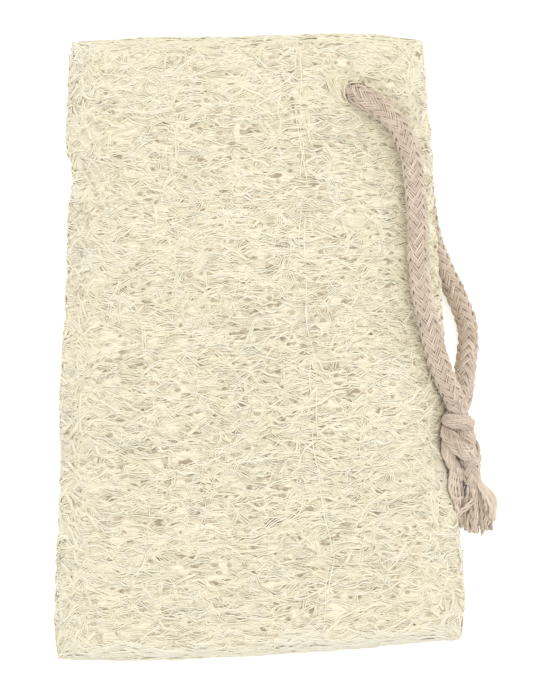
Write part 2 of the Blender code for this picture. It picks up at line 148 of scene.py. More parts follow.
@dataclass(frozen=True)
class CoreFinish:
    """Inner net under the threads: fine streaks along the threads, with small dark spots of painted shade
    for the pores.

    Attributes:
        pore: painted shade inside a pore.
        gap: colour between the streaks.
        streak: colour of the streaks.
        streak_size: streaks per metre along, across and up the pad.
        pore_size: pores per metre along, across and up the pad.
        pore_share: levels of the pores' noise between which they fade in.
        roughness: how matt it is.
        tangle: how far the streaks are bent.
        bump: strength of the streaks' relief.
        bump_depth: depth of that relief.
    """

    pore: tuple[float, float, float] = (0.37, 0.31, 0.22)
    gap: tuple[float, float, float] = (0.65, 0.59, 0.445)
    streak: tuple[float, float, float] = (0.775, 0.72, 0.565)
    streak_size: tuple[float, float, float] = (260.0, 2300.0, 1500.0)
    pore_size: tuple[float, float, float] = (260.0, 520.0, 400.0)
    pore_share: tuple[float, float] = (0.34, 0.41)
    roughness: float = 0.85
    tangle: float = 0.9
    bump: float = 0.6
    bump_depth: float = 0.45 * MM

    def material(self, name: str) -> bpy.types.Material:
        """Build the material of the inner net.

        Args:
            name: name of the new material.

        Returns:
            The material.
        """
        shop = NodeShop(name)
        coords = shop.add("ShaderNodeTexCoord")
        streaks = shop.noise(shop.stretched(coords.outputs["Object"], self.streak_size), 1.0, 3.0)
        streaks.inputs["Distortion"].default_value = self.tangle
        pores = shop.noise(shop.stretched(coords.outputs["Object"], self.pore_size), 1.0, 2.0)
        ramp = shop.ramp(streaks.outputs["Fac"], ((0.42, self.gap), (0.54, self.streak)))
        # Painted shade: where the pores' noise is low, the colour turns to the dark pore shade.
        pore_shade_spots = shop.ramp(pores.outputs["Fac"], tuple(zip(self.pore_share, ((0.0,) * 3, (1.0,) * 3))))
        mix = shop.add("ShaderNodeMix")
        mix.data_type = "RGBA"
        mix.inputs["A"].default_value = (*self.pore, 1.0)
        shop.link(pore_shade_spots, mix.inputs["Factor"])
        shop.link(ramp, mix.inputs["B"])
        bump = shop.add("ShaderNodeBump")
        bump.inputs["Strength"].default_value = self.bump
        bump.inputs["Distance"].default_value = self.bump_depth
        shop.link(streaks.outputs["Fac"], bump.inputs["Height"])
        shop.link(mix.outputs["Result"], shop.shader.inputs["Base Color"])
        shop.link(bump.outputs["Normal"], shop.shader.inputs["Normal"])
        shop.shader.inputs["Roughness"].default_value = self.roughness
        shop.shader.inputs["Specular IOR Level"].default_value = 0.2
        return shop.material


@dataclass(frozen=True)
class PoreShadeFinish:
    """Painted shade at the bottom of a pore: dark brown at its middle, pale at its rim.

    Attributes:
        dark: darkest colour of the painted shade.
        light: its lightest colour.
    """

    dark: tuple[float, float, float] = (0.17, 0.125, 0.075)
    light: tuple[float, float, float] = (0.78, 0.695, 0.52)

    def material(self, name: str) -> bpy.types.Material:
        """Build the material of the pores.

        Args:
            name: name of the new material.

        Returns:
            The material.
        """
        shop = NodeShop(name)
        tone = shop.add("ShaderNodeAttribute")
        tone.attribute_name = "tone"
        ramp = shop.ramp(tone.outputs["Fac"], ((0.0, self.dark), (1.0, self.light)))
        shop.link(ramp, shop.shader.inputs["Base Color"])
        shop.shader.inputs["Roughness"].default_value = 0.9
        shop.shader.inputs["Specular IOR Level"].default_value = 0.1
        return shop.material


@dataclass(frozen=True)
class CottonFinish:
    """Soft unbleached cotton yarn, pinkish beige.

    Attributes:
        shade: colour of the darkest yarns.
        middle: colour of the usual yarn.
        light: colour of the palest yarns.
        roughness: how matt the yarn is.
        sheen: strength of its soft sheen.
        lint_scale: grains of lint per metre.
        lint_share: how far the lint shifts a yarn's tone.
        balance: what is taken off again, so that the tones keep their middle.
        bump: strength of the lint's relief.
    """

    shade: tuple[float, float, float] = (0.40, 0.315, 0.245)
    middle: tuple[float, float, float] = (0.60, 0.495, 0.395)
    light: tuple[float, float, float] = (0.78, 0.67, 0.545)
    roughness: float = 0.85
    sheen: float = 0.35
    lint_scale: float = 2600.0
    lint_share: float = 0.35
    balance: float = 0.17
    bump: float = 0.35

    def material(self, name: str) -> bpy.types.Material:
        """Build the yarn material, with lint grain and a soft sheen.

        Args:
            name: name of the new material.

        Returns:
            The material.
        """
        shop = NodeShop(name)
        tone = shop.add("ShaderNodeAttribute")
        tone.attribute_name = "tone"
        coords = shop.add("ShaderNodeTexCoord")
        lint = shop.noise(coords.outputs["Object"], self.lint_scale, 3.0)
        mixed = shop.math("MULTIPLY_ADD", lint.outputs["Fac"], self.lint_share, tone.outputs["Fac"])
        centred = shop.math("SUBTRACT", mixed, self.balance)
        ramp = shop.ramp(centred, ((0.0, self.shade), (0.5, self.middle), (1.0, self.light)))
        bump = shop.add("ShaderNodeBump")
        bump.inputs["Strength"].default_value = self.bump
        bump.inputs["Distance"].default_value = 0.08 * MM
        shop.link(lint.outputs["Fac"], bump.inputs["Height"])
        shop.link(ramp, shop.shader.inputs["Base Color"])
        shop.link(bump.outputs["Normal"], shop.shader.inputs["Normal"])
        shop.shader.inputs["Roughness"].default_value = self.roughness
        shop.shader.inputs["Sheen Weight"].default_value = self.sheen
        shop.shader.inputs["Sheen Roughness"].default_value = 0.5
        shop.shader.inputs["Specular IOR Level"].default_value = 0.2
        return shop.material


@dataclass(frozen=True)
class FloorFinish:
    """Plain pale surface under the pad.

    Attributes:
        colour: its colour.
        roughness: how matt it is.
        glow: light of its own, which keeps it an even white.
    """

    colour: tuple[float, float, float] = (0.93, 0.93, 0.925)
    roughness: float = 0.8
    glow: float = 0.50

    def material(self, name: str) -> bpy.types.Material:
        """Build the floor's material.

        Args:
            name: name of the new material.

        Returns:
            The material.
        """
        shop = NodeShop(name)
        shop.shader.inputs["Base Color"].default_value = (*self.colour, 1.0)
        shop.shader.inputs["Roughness"].default_value = self.roughness
        shop.shader.inputs["Specular IOR Level"].default_value = 0.1
        shop.shader.inputs["Emission Color"].default_value = (*self.colour, 1.0)
        shop.shader.inputs["Emission Strength"].default_value = self.glow
        return shop.material


class NodeShop:
    """Small helper that adds and links the nodes of one material."""

    def __init__(self, name: str) -> None:
        """Start a material with its Principled shader.

        Args:
            name: name of the new material.
        """
        self.material = bpy.data.materials.new(name)
        self.material.use_nodes = True
        self.tree = self.material.node_tree
        self.shader = self.tree.nodes["Principled BSDF"]

    def add(self, kind: str) -> bpy.types.Node:
        """Add a node of the given kind and return it."""
        return self.tree.nodes.new(kind)

    def link(self, source: bpy.types.NodeSocket, target: bpy.types.NodeSocket) -> None:
        """Link two sockets."""
        self.tree.links.new(source, target)

    def noise(self, vector: bpy.types.NodeSocket, scale: float, detail: float) -> bpy.types.Node:
        """Add a noise texture.

        Args:
            vector: coordinates that it reads.
            scale: features per metre.
            detail: levels of finer noise.

        Returns:
            The noise node.
        """
        node = self.add("ShaderNodeTexNoise")
        node.inputs["Scale"].default_value = scale
        node.inputs["Detail"].default_value = detail
        self.link(vector, node.inputs["Vector"])
        return node

    def stretched(self, vector: bpy.types.NodeSocket,
                  sizes: tuple[float, float, float]) -> bpy.types.NodeSocket:
        """Scale coordinates by a factor for each axis.

        Args:
            vector: coordinates to scale.
            sizes: the factor for each axis.

        Returns:
            The scaled coordinates' socket.
        """
        node = self.add("ShaderNodeVectorMath")
        node.operation = "MULTIPLY"
        self.link(vector, node.inputs[0])
        node.inputs[1].default_value = sizes
        return node.outputs[0]

    def math(self, operation: str, value: bpy.types.NodeSocket, second: float,
             third: bpy.types.NodeSocket | None = None) -> bpy.types.NodeSocket:
        """Add a sum on one linked value.

        Args:
            operation: Blender's name for the sum.
            value: linked first value.
            second: fixed second value.
            third: linked third value, for a multiply and add.

        Returns:
            The result's socket.
        """
        node = self.add("ShaderNodeMath")
        node.operation = operation
        self.link(value, node.inputs[0])
        node.inputs[1].default_value = second
        if third is not None:
            self.link(third, node.inputs[2])
        return node.outputs[0]

    def ramp(self, value: bpy.types.NodeSocket,
             stops: tuple[tuple[float, tuple[float, float, float]], ...]) -> bpy.types.NodeSocket:
        """Add a colour ramp.

        Args:
            value: what the ramp reads.
            stops: places from 0 to 1, each with its colour.

        Returns:
            The colour's socket.
        """
        node = self.add("ShaderNodeValToRGB")
        while len(node.color_ramp.elements) < len(stops):
            node.color_ramp.elements.new(0.5)
        for element, (place, colour) in zip(node.color_ramp.elements, stops):
            element.position = place
            element.color = (*colour, 1.0)
        self.link(value, node.inputs["Fac"])
        return node.outputs["Color"]


def on_curve(a: Array, b: Array, c: Array, d: Array, t: Array) -> Array:
    """Point at t between b and c on the Catmull-Rom curve through four values."""
    return 0.5 * (2 * b + (c - a) * t + (2 * a - 5 * b + 4 * c - d) * t ** 2
                  + (3 * b - a - 3 * c + d) * t ** 3)


def smooth_path(points: Array, step: float, samples: int = 16) -> Array:
    """Points an even step apart on the smooth curve through the given ones.

    Args:
        points: the curve's own points, one row each.
        step: distance between the points returned, roughly.
        samples: how finely each stretch is measured.

    Returns:
        The points, one row each.
    """
    points = np.asarray(points, float)
    ends = np.vstack([2 * points[0] - points[1], points, 2 * points[-1] - points[-2]])
    t = np.linspace(0, 1, samples, endpoint=False)[:, None]
    fine = [on_curve(ends[n], ends[n + 1], ends[n + 2], ends[n + 3], t) for n in range(len(points) - 1)]
    fine = np.vstack([*fine, points[-1:]])
    lengths = np.concatenate([[0.0], np.cumsum(np.linalg.norm(np.diff(fine, axis=0), axis=1))])
    count = max(2, round(lengths[-1] / step)) + 1
    want = np.linspace(0, lengths[-1], count)
    return np.stack([np.interp(want, lengths, fine[:, axis]) for axis in range(points.shape[1])], axis=1)


def path_length(points: Array) -> float:
    """Length of a line through points."""
    return float(np.linalg.norm(np.diff(points, axis=0), axis=1).sum())


def carried_frames(points: Array) -> tuple[Array, Array, Array]:
    """Directions along and across many lines, carried along each without twist.

    Args:
        points: lines by points by coordinates.

    Returns:
        Tangents, first cross directions and second cross directions, shaped as points.
    """
    tangents = np.gradient(points, axis=1)
    tangents /= np.maximum(np.linalg.norm(tangents, axis=2, keepdims=True), 1e-12)
    start = np.cross(tangents[:, 0], (0.0, 0.0, 1.0))
    flat = np.linalg.norm(start, axis=1) < 0.1
    start[flat] = np.cross(tangents[flat, 0], (1.0, 0.0, 0.0))
    start /= np.linalg.norm(start, axis=1, keepdims=True)
    first = np.empty_like(points)
    first[:, 0] = start
    for n in range(1, points.shape[1]):
        moved = first[:, n - 1] - (first[:, n - 1] * tangents[:, n]).sum(1, keepdims=True) * tangents[:, n]
        first[:, n] = moved / np.maximum(np.linalg.norm(moved, axis=1, keepdims=True), 1e-12)
    return tangents, first, np.cross(tangents, first)


class ThreadBatch:
    """Closed thin tubes gathered into one mesh, each thread with a tone of its own."""

    def __init__(self) -> None:
        """Start an empty batch."""
        self.points: list[Array] = []
        self.tones: list[Array] = []
        self.faces: list[Array] = []
        self.count = 0

    def add(self, lines: Array, radii: Array | float, tones: Array | float, sides: int = 3) -> None:
        """Add threads that all have the same number of points.

        Args:
            lines: threads by points by coordinates.
            radii: radius of each thread at each of its points, or one for all.
            tones: tone from 0 to 1 of each thread, or one for all.
            sides: faces round each thread.
        """
        threads, length, _ = lines.shape
        if threads == 0:
            return
        radii = np.broadcast_to(radii, (threads, length))
        tones = np.broadcast_to(tones, (threads,))
        _, first, second = carried_frames(lines)
        angles = 2 * math.pi * np.arange(sides) / sides
        ring = (np.cos(angles)[:, None] * first[:, :, None, :]
                + np.sin(angles)[:, None] * second[:, :, None, :])
        verts = lines[:, :, None, :] + ring * radii[:, :, None, None]
        index = np.arange(threads * length * sides).reshape(threads, length, sides) + self.count
        turned = np.roll(index, -1, axis=2)
        quads = np.stack([index[:, :-1], turned[:, :-1], turned[:, 1:], index[:, 1:]], axis=-1)
        self.points.append(verts.reshape(-1, 3))
        self.tones.append(np.repeat(tones, length * sides))
        self.faces += [quads.reshape(-1, 4), index[:, 0, ::-1].reshape(-1, sides),
                       index[:, -1].reshape(-1, sides)]
        self.count += threads * length * sides

    def add_caps(self, rings: Array, tops: Array, bottoms: Array, tones: Array) -> None:
        """Add closed lenses, each a pale ring with a point above and a point below.

        Args:
            rings: lenses by ring points by coordinates.
            tops: the points above.
            bottoms: the points below.
            tones: tone of each lens at its middle.
        """
        count, sides, _ = rings.shape
        verts = np.concatenate([rings, tops[:, None], bottoms[:, None]], axis=1)
        index = np.arange(count * (sides + 2)).reshape(count, sides + 2) + self.count
        ring, turned = index[:, :sides], np.roll(index[:, :sides], -1, axis=1)
        top = np.broadcast_to(index[:, sides, None], ring.shape)
        bottom = np.broadcast_to(index[:, sides + 1, None], ring.shape)
        self.points.append(verts.reshape(-1, 3))
        middles = tones[:, None]
        # Painted shade: each ring is pale and each lens darkens to its own tone at the middle.
        self.tones.append(np.concatenate([np.ones((count, sides)), middles, middles], 1).ravel())
        self.faces += [np.stack([ring, turned, top], -1).reshape(-1, 3),
                       np.stack([turned, ring, bottom], -1).reshape(-1, 3)]
        self.count += verts.shape[0] * verts.shape[1]

    def triangles(self) -> int:
        """Number of triangles that the batch holds so far."""
        return sum(len(block) * (block.shape[1] - 2) for block in self.faces)

    def build(self, name: str, material: bpy.types.Material, slot: str) -> bpy.types.Object:
        """Make one object of the gathered threads.

        Args:
            name: the object's name.
            material: the threads' material.
            slot: the record's material slot; not used.

        Returns:
            The new object.
        """
        loops = np.concatenate([block.ravel() for block in self.faces])
        sizes = np.concatenate([np.full(len(block), block.shape[1]) for block in self.faces])
        starts = np.concatenate([[0], np.cumsum(sizes)[:-1]])
        piece = mesh_object(name, np.concatenate(self.points), loops, starts, material)
        tone = piece.data.attributes.new("tone", "FLOAT", "POINT")
        tone.data.foreach_set("value", np.concatenate(self.tones).astype(np.float32))
        LOG.info("%s: %d triangles", name, self.triangles())
        return piece


def mesh_object(name: str, points: Array, loops: Array, starts: Array, material: bpy.types.Material) -> bpy.types.Object:
    """Smooth-shaded object from plain arrays, in the scene and riding on the part.

    Args:
        name: the object's name.
        points: vertices, one row each.
        loops: vertex numbers of every face, end to end.
        starts: where each face starts in loops.
        material: the object's material.

    Returns:
        The new object.
    """
    mesh = bpy.data.meshes.new(name)
    mesh.vertices.add(len(points))
    mesh.vertices.foreach_set("co", points.astype(np.float32).ravel())
    mesh.loops.add(len(loops))
    mesh.loops.foreach_set("vertex_index", loops.astype(np.int32))
    mesh.polygons.add(len(starts))
    mesh.polygons.foreach_set("loop_start", starts.astype(np.int32))
    mesh.update(calc_edges=True)
    mesh.shade_smooth()
    mesh.materials.append(material)
    piece = bpy.data.objects.new(name, mesh)
    bpy.context.scene.collection.objects.link(piece)
    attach(piece, ROOT)
    return piece


@dataclass
class PadShape:
    """Smooth form of the pressed loofah, which the net is laid over.

    Attributes:
        half_width: half of the widest place.
        half_length: half of the longest place.
        thickness: height of the pad.
        side_rounding: width of the rounded rims along both sides.
        end_rounding: width of the rounded rims at both ends.
        corner_rounding: rounding of the four corners seen from above.
        power: how square the rims are.
        side_run: length of the fibres' way down a side.
        left_edge: places of the left edge in mm, as (along, across).
        right_edge: places of the right edge in mm, as (along, across).
        far_end: places of the far end in mm, as (across, along).
        near_end: places of the near end in mm, as (across, along).
    """

    half_width: float = 49.6 * MM
    half_length: float = 75.4 * MM
    thickness: float = 19.0 * MM
    side_rounding: float = 15.0 * MM
    end_rounding: float = 5.5 * MM
    corner_rounding: float = 1.8 * MM
    power: float = 2.2
    side_run: float = 17.0 * MM
    left_edge: tuple[tuple[float, float], ...] = (
        (-75.4, -48.9), (-65.5, -49.6), (-51.1, -49.1), (-31.9, -48.2), (-12.7, -48.4), (6.5, -47.4),
        (20.9, -46.7), (35.3, -46.2), (42.5, -45.3), (49.7, -46.7), (59.3, -46.4), (68.9, -46.0),
        (75.4, -45.6))
    right_edge: tuple[tuple[float, float], ...] = (
        (-75.4, 48.8), (-65.5, 49.6), (-60.7, 49.3), (-51.1, 49.0), (-46.3, 48.0), (-36.7, 46.6),
        (-27.1, 44.9), (-21.1, 44.5), (-16.3, 45.5), (-7.9, 45.1), (1.7, 44.5), (11.3, 44.0),
        (20.9, 43.2), (30.5, 42.6),
        (40.1, 42.1), (49.7, 41.6), (59.3, 40.7), (68.9, 40.0), (75.4, 39.6))
    far_end: tuple[tuple[float, float], ...] = (
        (-49.6, 73.4), (-29.0, 74.4), (-5.0, 74.6), (5.0, 75.1), (24.0, 75.4), (34.0, 74.4), (49.6, 72.6))
    near_end: tuple[tuple[float, float], ...] = (
        (-49.6, -75.2), (-29.0, -75.4), (0.0, -74.2), (10.0, -73.4), (24.0, -72.5), (38.5, -71.0),
        (49.6, -70.5))

    def rounded(self, along: Array, high: Array, half: float, rounding: float) -> tuple[Array, Array]:
        """Place on a section with rounded ends that a point of a box's section lands on.

        Args:
            along: place along the section's long side.
            high: height from -1 to 1.
            half: half of the long side.
            rounding: width of the rounded ends.

        Returns:
            Place along the section, and height from -1 to 1.
        """
        core = half - rounding
        past = np.maximum(np.abs(along) - core, 0.0) / rounding
        size = (past ** self.power + np.abs(high) ** self.power) ** (1 / self.power)
        moved = np.copysign(core + rounding * past / np.maximum(size, 1e-9), along)
        return np.where(past > 0, moved, along), high / np.maximum(size, 1e-9)

    def edge(self, table: tuple[tuple[float, float], ...], place: Array) -> Array:
        """Read an edge's place from its table, on a smooth curve.

        Args:
            table: places of the edge in mm, as (along, across).
            place: where along the edge, in metres.

        Returns:
            The edge's place in metres.
        """
        keys = np.array([key for key, _ in table])
        values = np.array([value for _, value in table])
        place = np.clip(place / MM, keys[0], keys[-1])
        n = np.clip(np.searchsorted(keys, place, side="left") - 1, 0, len(keys) - 2)
        t = (place - keys[n]) / (keys[n + 1] - keys[n])
        last = len(keys) - 1
        near = [values[np.clip(n + step, 0, last)] for step in (-1, 0, 1, 2)]
        return on_curve(*near, t) * MM

    def box_point(self, across: Array, along: Array, high: Array, on_end: bool) -> Array:
        """Surface points of the pad, from points on the surface of a box with sides from -1 to 1.

        Args:
            across: place across the box.
            along: place along the box.
            high: height on the box.
            on_end: whether the points lie on the box's ends.

        Returns:
            The points, with coordinates last.
        """
        x, height_x = self.rounded(across * self.half_width, high, self.half_width, self.side_rounding)
        y, height_y = self.rounded(along * self.half_length, high, self.half_length, self.end_rounding)
        if on_end:
            level = height_y * self.rounded(across * self.half_width, np.ones_like(high), self.half_width,
                                            self.side_rounding)[1]
        else:
            level = height_x * self.rounded(along * self.half_length, np.ones_like(high), self.half_length,
                                            self.end_rounding)[1]
        corner_x = (np.abs(x) - (self.half_width - self.corner_rounding)) / self.corner_rounding
        corner_y = (np.abs(y) - (self.half_length - self.corner_rounding)) / self.corner_rounding
        in_corner = (corner_x > 0) & (corner_y > 0)
        far = np.maximum(np.hypot(corner_x, corner_y), 1e-9)
        pull = np.where(in_corner, 1 - np.maximum(corner_x, corner_y) / far, 0.0)
        x = x - np.copysign(corner_x * pull * self.corner_rounding, x)
        y = y - np.copysign(corner_y * pull * self.corner_rounding, y)
        left, right = self.edge(self.left_edge, y), self.edge(self.right_edge, y)
        place_x = (left + right) / 2 + x / self.half_width * (right - left) / 2
        near, far = self.edge(self.near_end, place_x), self.edge(self.far_end, place_x)
        place_y = (near + far) / 2 + y / self.half_length * (far - near) / 2
        return np.stack([place_x, place_y, self.thickness / 2 * (1 + level)], axis=-1)

    def around(self, run: Array, along: Array) -> Array:
        """Surface points by the distance run round the pad's section and the distance along it.

        Args:
            run: distance round the section, from the left rim over the upper face.
            along: distance along the pad from its middle.

        Returns:
            The points, with coordinates last.
        """
        wide, side = 2 * self.half_width, self.side_run
        run = np.mod(run, 2 * (wide + side))
        across = np.select([run < wide, run < wide + side, run < 2 * wide + side],
                           [-1 + 2 * run / wide, np.ones_like(run), 1 - 2 * (run - wide - side) / wide],
                           -np.ones_like(run))
        high = np.select([run < wide, run < wide + side, run < 2 * wide + side],
                         [np.ones_like(run), 1 - 2 * (run - wide) / side, -np.ones_like(run)],
                         -1 + 2 * (run - 2 * wide - side) / side)
        reach = np.clip(along / self.half_length, -1.0, 1.0)
        return self.box_point(across, reach, high, False)

    def run_at(self, place_x: Array, place_y: Array) -> Array:
        """Distance round the section, on the upper face, of a point given across and along the pad.

        Args:
            place_x: place across the pad.
            place_y: place along the pad.

        Returns:
            The distance round the section.
        """
        left, right = self.edge(self.left_edge, place_y), self.edge(self.right_edge, place_y)
        return (place_x - (left + right) / 2) / ((right - left) / 2) * self.half_width + self.half_width

    def over_end(self, across: Array, climb: Array, sign: float) -> Array:
        """Surface points over one end of the pad.

        Args:
            across: distance across the end from its middle.
            climb: distance up the end from its middle, carried on over both faces.
            sign: 1 for the far end, -1 for the near one.

        Returns:
            The points, with coordinates last.
        """
        half = self.thickness / 2
        beyond = np.maximum(np.abs(climb) - half, 0.0)
        place = np.clip(across / self.half_width, -1.0, 1.0)
        on_end = self.box_point(place, np.full_like(place, sign), np.clip(climb / half, -1.0, 1.0), True)
        inward = sign * (1 - beyond / self.half_length)
        on_face = self.box_point(place, inward, np.copysign(1.0, climb), False)
        return np.where((beyond > 0)[..., None], on_face, on_end)

    def sunk(self, first: Array, second: Array, depth: Array, face: Face) -> Array:
        """Points at a depth under the surface of one face.

        Args:
            first: distance round the section, or across an end.
            second: distance along the pad, or up an end.
            depth: how far under the surface each point lies.
            face: which face the distances belong to.

        Returns:
            The points, with coordinates last.
        """
        if face is Face.AROUND:
            def place(a: Array, b: Array) -> Array:
                """Point of the section's surface."""
                return self.around(a, b)
        else:
            sign = 1.0 if face is Face.FAR_END else -1.0

            def place(a: Array, b: Array) -> Array:
                """Point of the end's surface."""
                return self.over_end(a, b, sign)
        step = 0.3 * MM
        here = place(first, second)
        one = place(first + step, second) - place(first - step, second)
        two = place(first, second + step) - place(first, second - step)
        normal = np.cross(one, two)
        normal /= np.maximum(np.linalg.norm(normal, axis=-1, keepdims=True), 1e-15)
        outward = here - np.array([0.0, 0.0, self.thickness / 2]) - 0.85 * here * np.array([1.0, 1.0, 0.0])
        flip = np.sign((normal * outward).sum(-1, keepdims=True))
        return here - normal * flip * depth[..., None]


@dataclass
class CordWay:
    """Route of the cord's middle line, and the room that it takes in the pad.

    Attributes:
        points: the route's own points in mm, from the knot over, through and under the pad and back.
        diameter: the braid's diameter.
        shadow_reach: how far from its middle line the cord's painted shadow darkens the net.
    """

    diameter: float = 5.4 * MM
    shadow_reach: float = 6.0 * MM
    points: tuple[tuple[float, float, float], ...] = (
        (47.0, -13.5, 15.9), (45.9, -10.8, 16.4), (44.5, -7.9, 17.3), (42.8, -3.6, 18.7),
        (41.4, 1.2, 19.9), (40.0, 7.0, 20.8), (38.6, 13.7, 21.2), (37.9, 22.1, 21.3),
        (37.7, 30.5, 21.3), (37.2, 37.7, 21.3), (36.2, 44.9, 21.4), (34.3, 50.6, 21.8),
        (32.2, 53.8, 22.2), (29.4, 56.6, 22.2), (25.3, 59.2, 20.9), (22.6, 60.9, 17.4),
        (21.6, 61.5, 12.6), (22.5, 60.9, 7.7), (25.4, 59.3, 4.2), (29.6, 56.7, 2.75),
        (33.3, 53.6, 2.7), (36.2, 49.6, 2.7), (38.0, 44.5, 2.7), (39.2, 39.0, 2.7),
        (40.1, 33.5, 2.7), (40.9, 28.5, 2.7), (42.0, 24.3, 2.7), (43.6, 20.4, 2.7),
        (45.7, 16.0, 2.7), (47.9, 11.2, 2.7), (49.7, 6.5, 2.75), (50.3, 1.7, 3.4),
        (49.8, -3.1, 5.2), (49.2, -7.9, 7.7), (48.5, -12.9, 10.1))

    def line(self, step: float) -> Array:
        """Middle line of the cord.

        Args:
            step: distance between its points.

        Returns:
            The points, one row each.
        """
        return smooth_path(np.array(self.points) * MM, step)

    def painted_shadow(self, places: Array) -> Array:
        """How much painted shadow the cord casts on the net at each place, from 0 to 1."""
        route = self.line(2.5 * MM)
        apart = np.linalg.norm(places[:, None, :2] - route[None, :, :2], axis=2).min(1)
        return np.exp(-(apart / self.shadow_reach) ** 2)

    def bend(self, lines: Array, radii: Array) -> tuple[Array, Array]:
        """Bend threads round the cord, and say which ones would still cross it.

        Args:
            lines: threads by points by coordinates.
            radii: radius of each thread at each point.

        Returns:
            The threads moved clear, and True for each that is kept.
        """
        route = self.line(1.2 * MM)
        near = (np.abs(lines[..., None, 0] - route[:, 0]).min(-1) < 6 * MM) & (
            np.abs(lines[..., None, 1] - route[:, 1]).min(-1) < 6 * MM)
        lines = lines.copy()
        chosen = np.argwhere(near)
        if len(chosen) == 0:
            return lines, np.ones(len(lines), bool)
        pore_shade_spots = lines[near]
        apart = np.linalg.norm(pore_shade_spots[:, None] - route[None], axis=2)
        nearest = apart.argmin(1)
        distance = apart[np.arange(len(pore_shade_spots)), nearest]
        clear = self.diameter / 2 + radii[near] + 0.05 * MM
        away = (pore_shade_spots - route[nearest]) / np.maximum(distance, 1e-9)[:, None]
        lines[near] = np.where((distance < clear)[:, None], route[nearest] + away * clear[:, None], pore_shade_spots)
        deep = np.zeros(len(lines), bool)
        deep[chosen[distance < 0.55 * self.diameter / 2, 0]] = True
        return lines, ~deep


@dataclass
class PoreField:
    """Small openings between the threads, at most one in each cell of an uneven grid.

    Attributes:
        shape: the pad.
        cell: size of a cell round and along the pad.
        half_length: shortest and longest half length of a pore, along the threads.
        half_height: lowest and highest half height of a pore, across the threads.
        share: share of the cells that have a pore, at the rims and in the middle.
        middle: place of the pad where pores are most common.
        reach: how far from it they stay common, across and along.
        tones: darkest and palest painted shade at a pore's middle.
        depth: depth of their rims under the surface.
        seed: seed of their random draws.
    """

    shape: PadShape
    cell: tuple[float, float] = (2.9 * MM, 2.0 * MM)
    half_length: tuple[float, float] = (0.36 * MM, 0.90 * MM)
    half_height: tuple[float, float] = (0.23 * MM, 0.50 * MM)
    share: tuple[float, float] = (0.22, 0.85)
    middle: tuple[float, float] = (12.0 * MM, -4.0 * MM)
    reach: tuple[float, float] = (42.0 * MM, 74.0 * MM)
    tones: tuple[float, float] = (0.0, 0.62)
    depth: float = 0.46 * MM
    seed: int = 23

    def __post_init__(self) -> None:
        """Place the pores."""
        draw = np.random.default_rng(self.seed)
        self.start = -self.shape.half_length
        round_pad = 2 * (2 * self.shape.half_width + self.shape.side_run)
        self.counts = (int(round_pad / self.cell[0]), int(2 * self.shape.half_length / self.cell[1]))
        grid = np.stack(np.meshgrid(*(np.arange(n) + 0.5 for n in self.counts), indexing="ij"), -1)
        self.half_a = draw.uniform(*self.half_length, self.counts)
        self.half_b = draw.uniform(*self.half_height, self.counts)
        loose = np.stack([self.cell[0] / 2 - self.half_a, self.cell[1] / 2 - self.half_b - 0.25 * MM], -1)
        place = grid * self.cell + draw.uniform(-1, 1, grid.shape) * loose
        self.first, self.second = place[..., 0], place[..., 1] + self.start
        far = np.hypot((self.first - self.shape.half_width - self.middle[0]) / self.reach[0],
                       (self.second - self.middle[1]) / self.reach[1])
        patchy = 0.5 + 0.5 * np.sin(self.first / (7.3 * MM) + 1.3 * np.sin(self.second / (9.1 * MM)))
        more = self.share[1] - self.share[0]
        chance = self.share[0] + more * np.exp(-far ** 2) * (0.55 + 0.45 * patchy)
        self.open = draw.random(self.counts) < chance
        self.tone = draw.uniform(*self.tones, self.counts)

    def part(self, first: Array, second: Array, radius: float) -> Array:
        """Second distances of threads, parted where they would cross a pore.

        Args:
            first: distances round the pad.
            second: distances along the pad.
            radius: the threads' radius.

        Returns:
            The second distances, moved.
        """
        column = np.floor(first / self.cell[0]).astype(int) % self.counts[0]
        row = np.clip(np.floor((second - self.start) / self.cell[1]).astype(int), 0, self.counts[1] - 1)
        beside = (first - self.first[column, row]) / (self.half_a[column, row] + 0.5 * MM)
        above = second - self.second[column, row]
        room = (self.half_b[column, row] + radius) * np.clip(1 - beside ** 2, 0, 1)
        inside = self.open[column, row] & (np.abs(above) < room)
        return np.where(inside, self.second[column, row] + np.copysign(room, above), second)

    def build(self, material: bpy.types.Material) -> bpy.types.Object:
        """Make the pores' bottoms of painted shade, dark lenses under the threads, on the upper and lower
        faces.

        Args:
            material: the pores' material.

        Returns:
            The pores' object.
        """
        wide, side = 2 * self.shape.half_width, self.shape.side_run
        on_face = ((self.first > 6 * MM) & (self.first < wide - 6 * MM)) | (
            (self.first > wide + side + 6 * MM) & (self.first < 2 * wide + side - 6 * MM))
        chosen = self.open & on_face & (np.abs(self.second) < self.shape.half_length - 5 * MM)
        first, second = self.first[chosen][:, None], self.second[chosen][:, None]
        half_a, half_b = self.half_a[chosen][:, None], self.half_b[chosen][:, None]
        sides, wider = 8, 1.35
        angle = np.linspace(0, 2 * math.pi, sides, endpoint=False)[None]
        depth = np.full_like(first, self.depth)
        rings = self.shape.sunk(first + wider * half_a * np.cos(angle),
                                second + wider * half_b * np.sin(angle),
                                np.broadcast_to(depth, (len(first), sides)), Face.AROUND)
        tops = self.shape.sunk(first, second, depth + 0.05 * MM, Face.AROUND)[:, 0]
        bottoms = self.shape.sunk(first, second, depth + 0.5 * MM, Face.AROUND)[:, 0]
        batch = ThreadBatch()
        batch.add_caps(rings, tops, bottoms, self.tone[chosen])
        return batch.build("net_pore_shade", material, FIBRE_SLOT)


@dataclass(frozen=True)
class ThreadLayer:
    """One layer of the net.

    Attributes:
        cover: how many times over the layer's threads would cover the face.
        radius: middle radius of its threads.
        depth: depth of its middle under the surface.
        rise: how far its threads weave up and down.
        lean: spread of the threads' direction about straight across.
        length: shortest and longest thread.
        tone: darkest and palest thread.
        share_along: share of its threads that run along the pad.
    """

    cover: float
    radius: float
    depth: float
    rise: float
    lean: float
    length: tuple[float, float]
    tone: tuple[float, float]
    share_along: float = 0.0


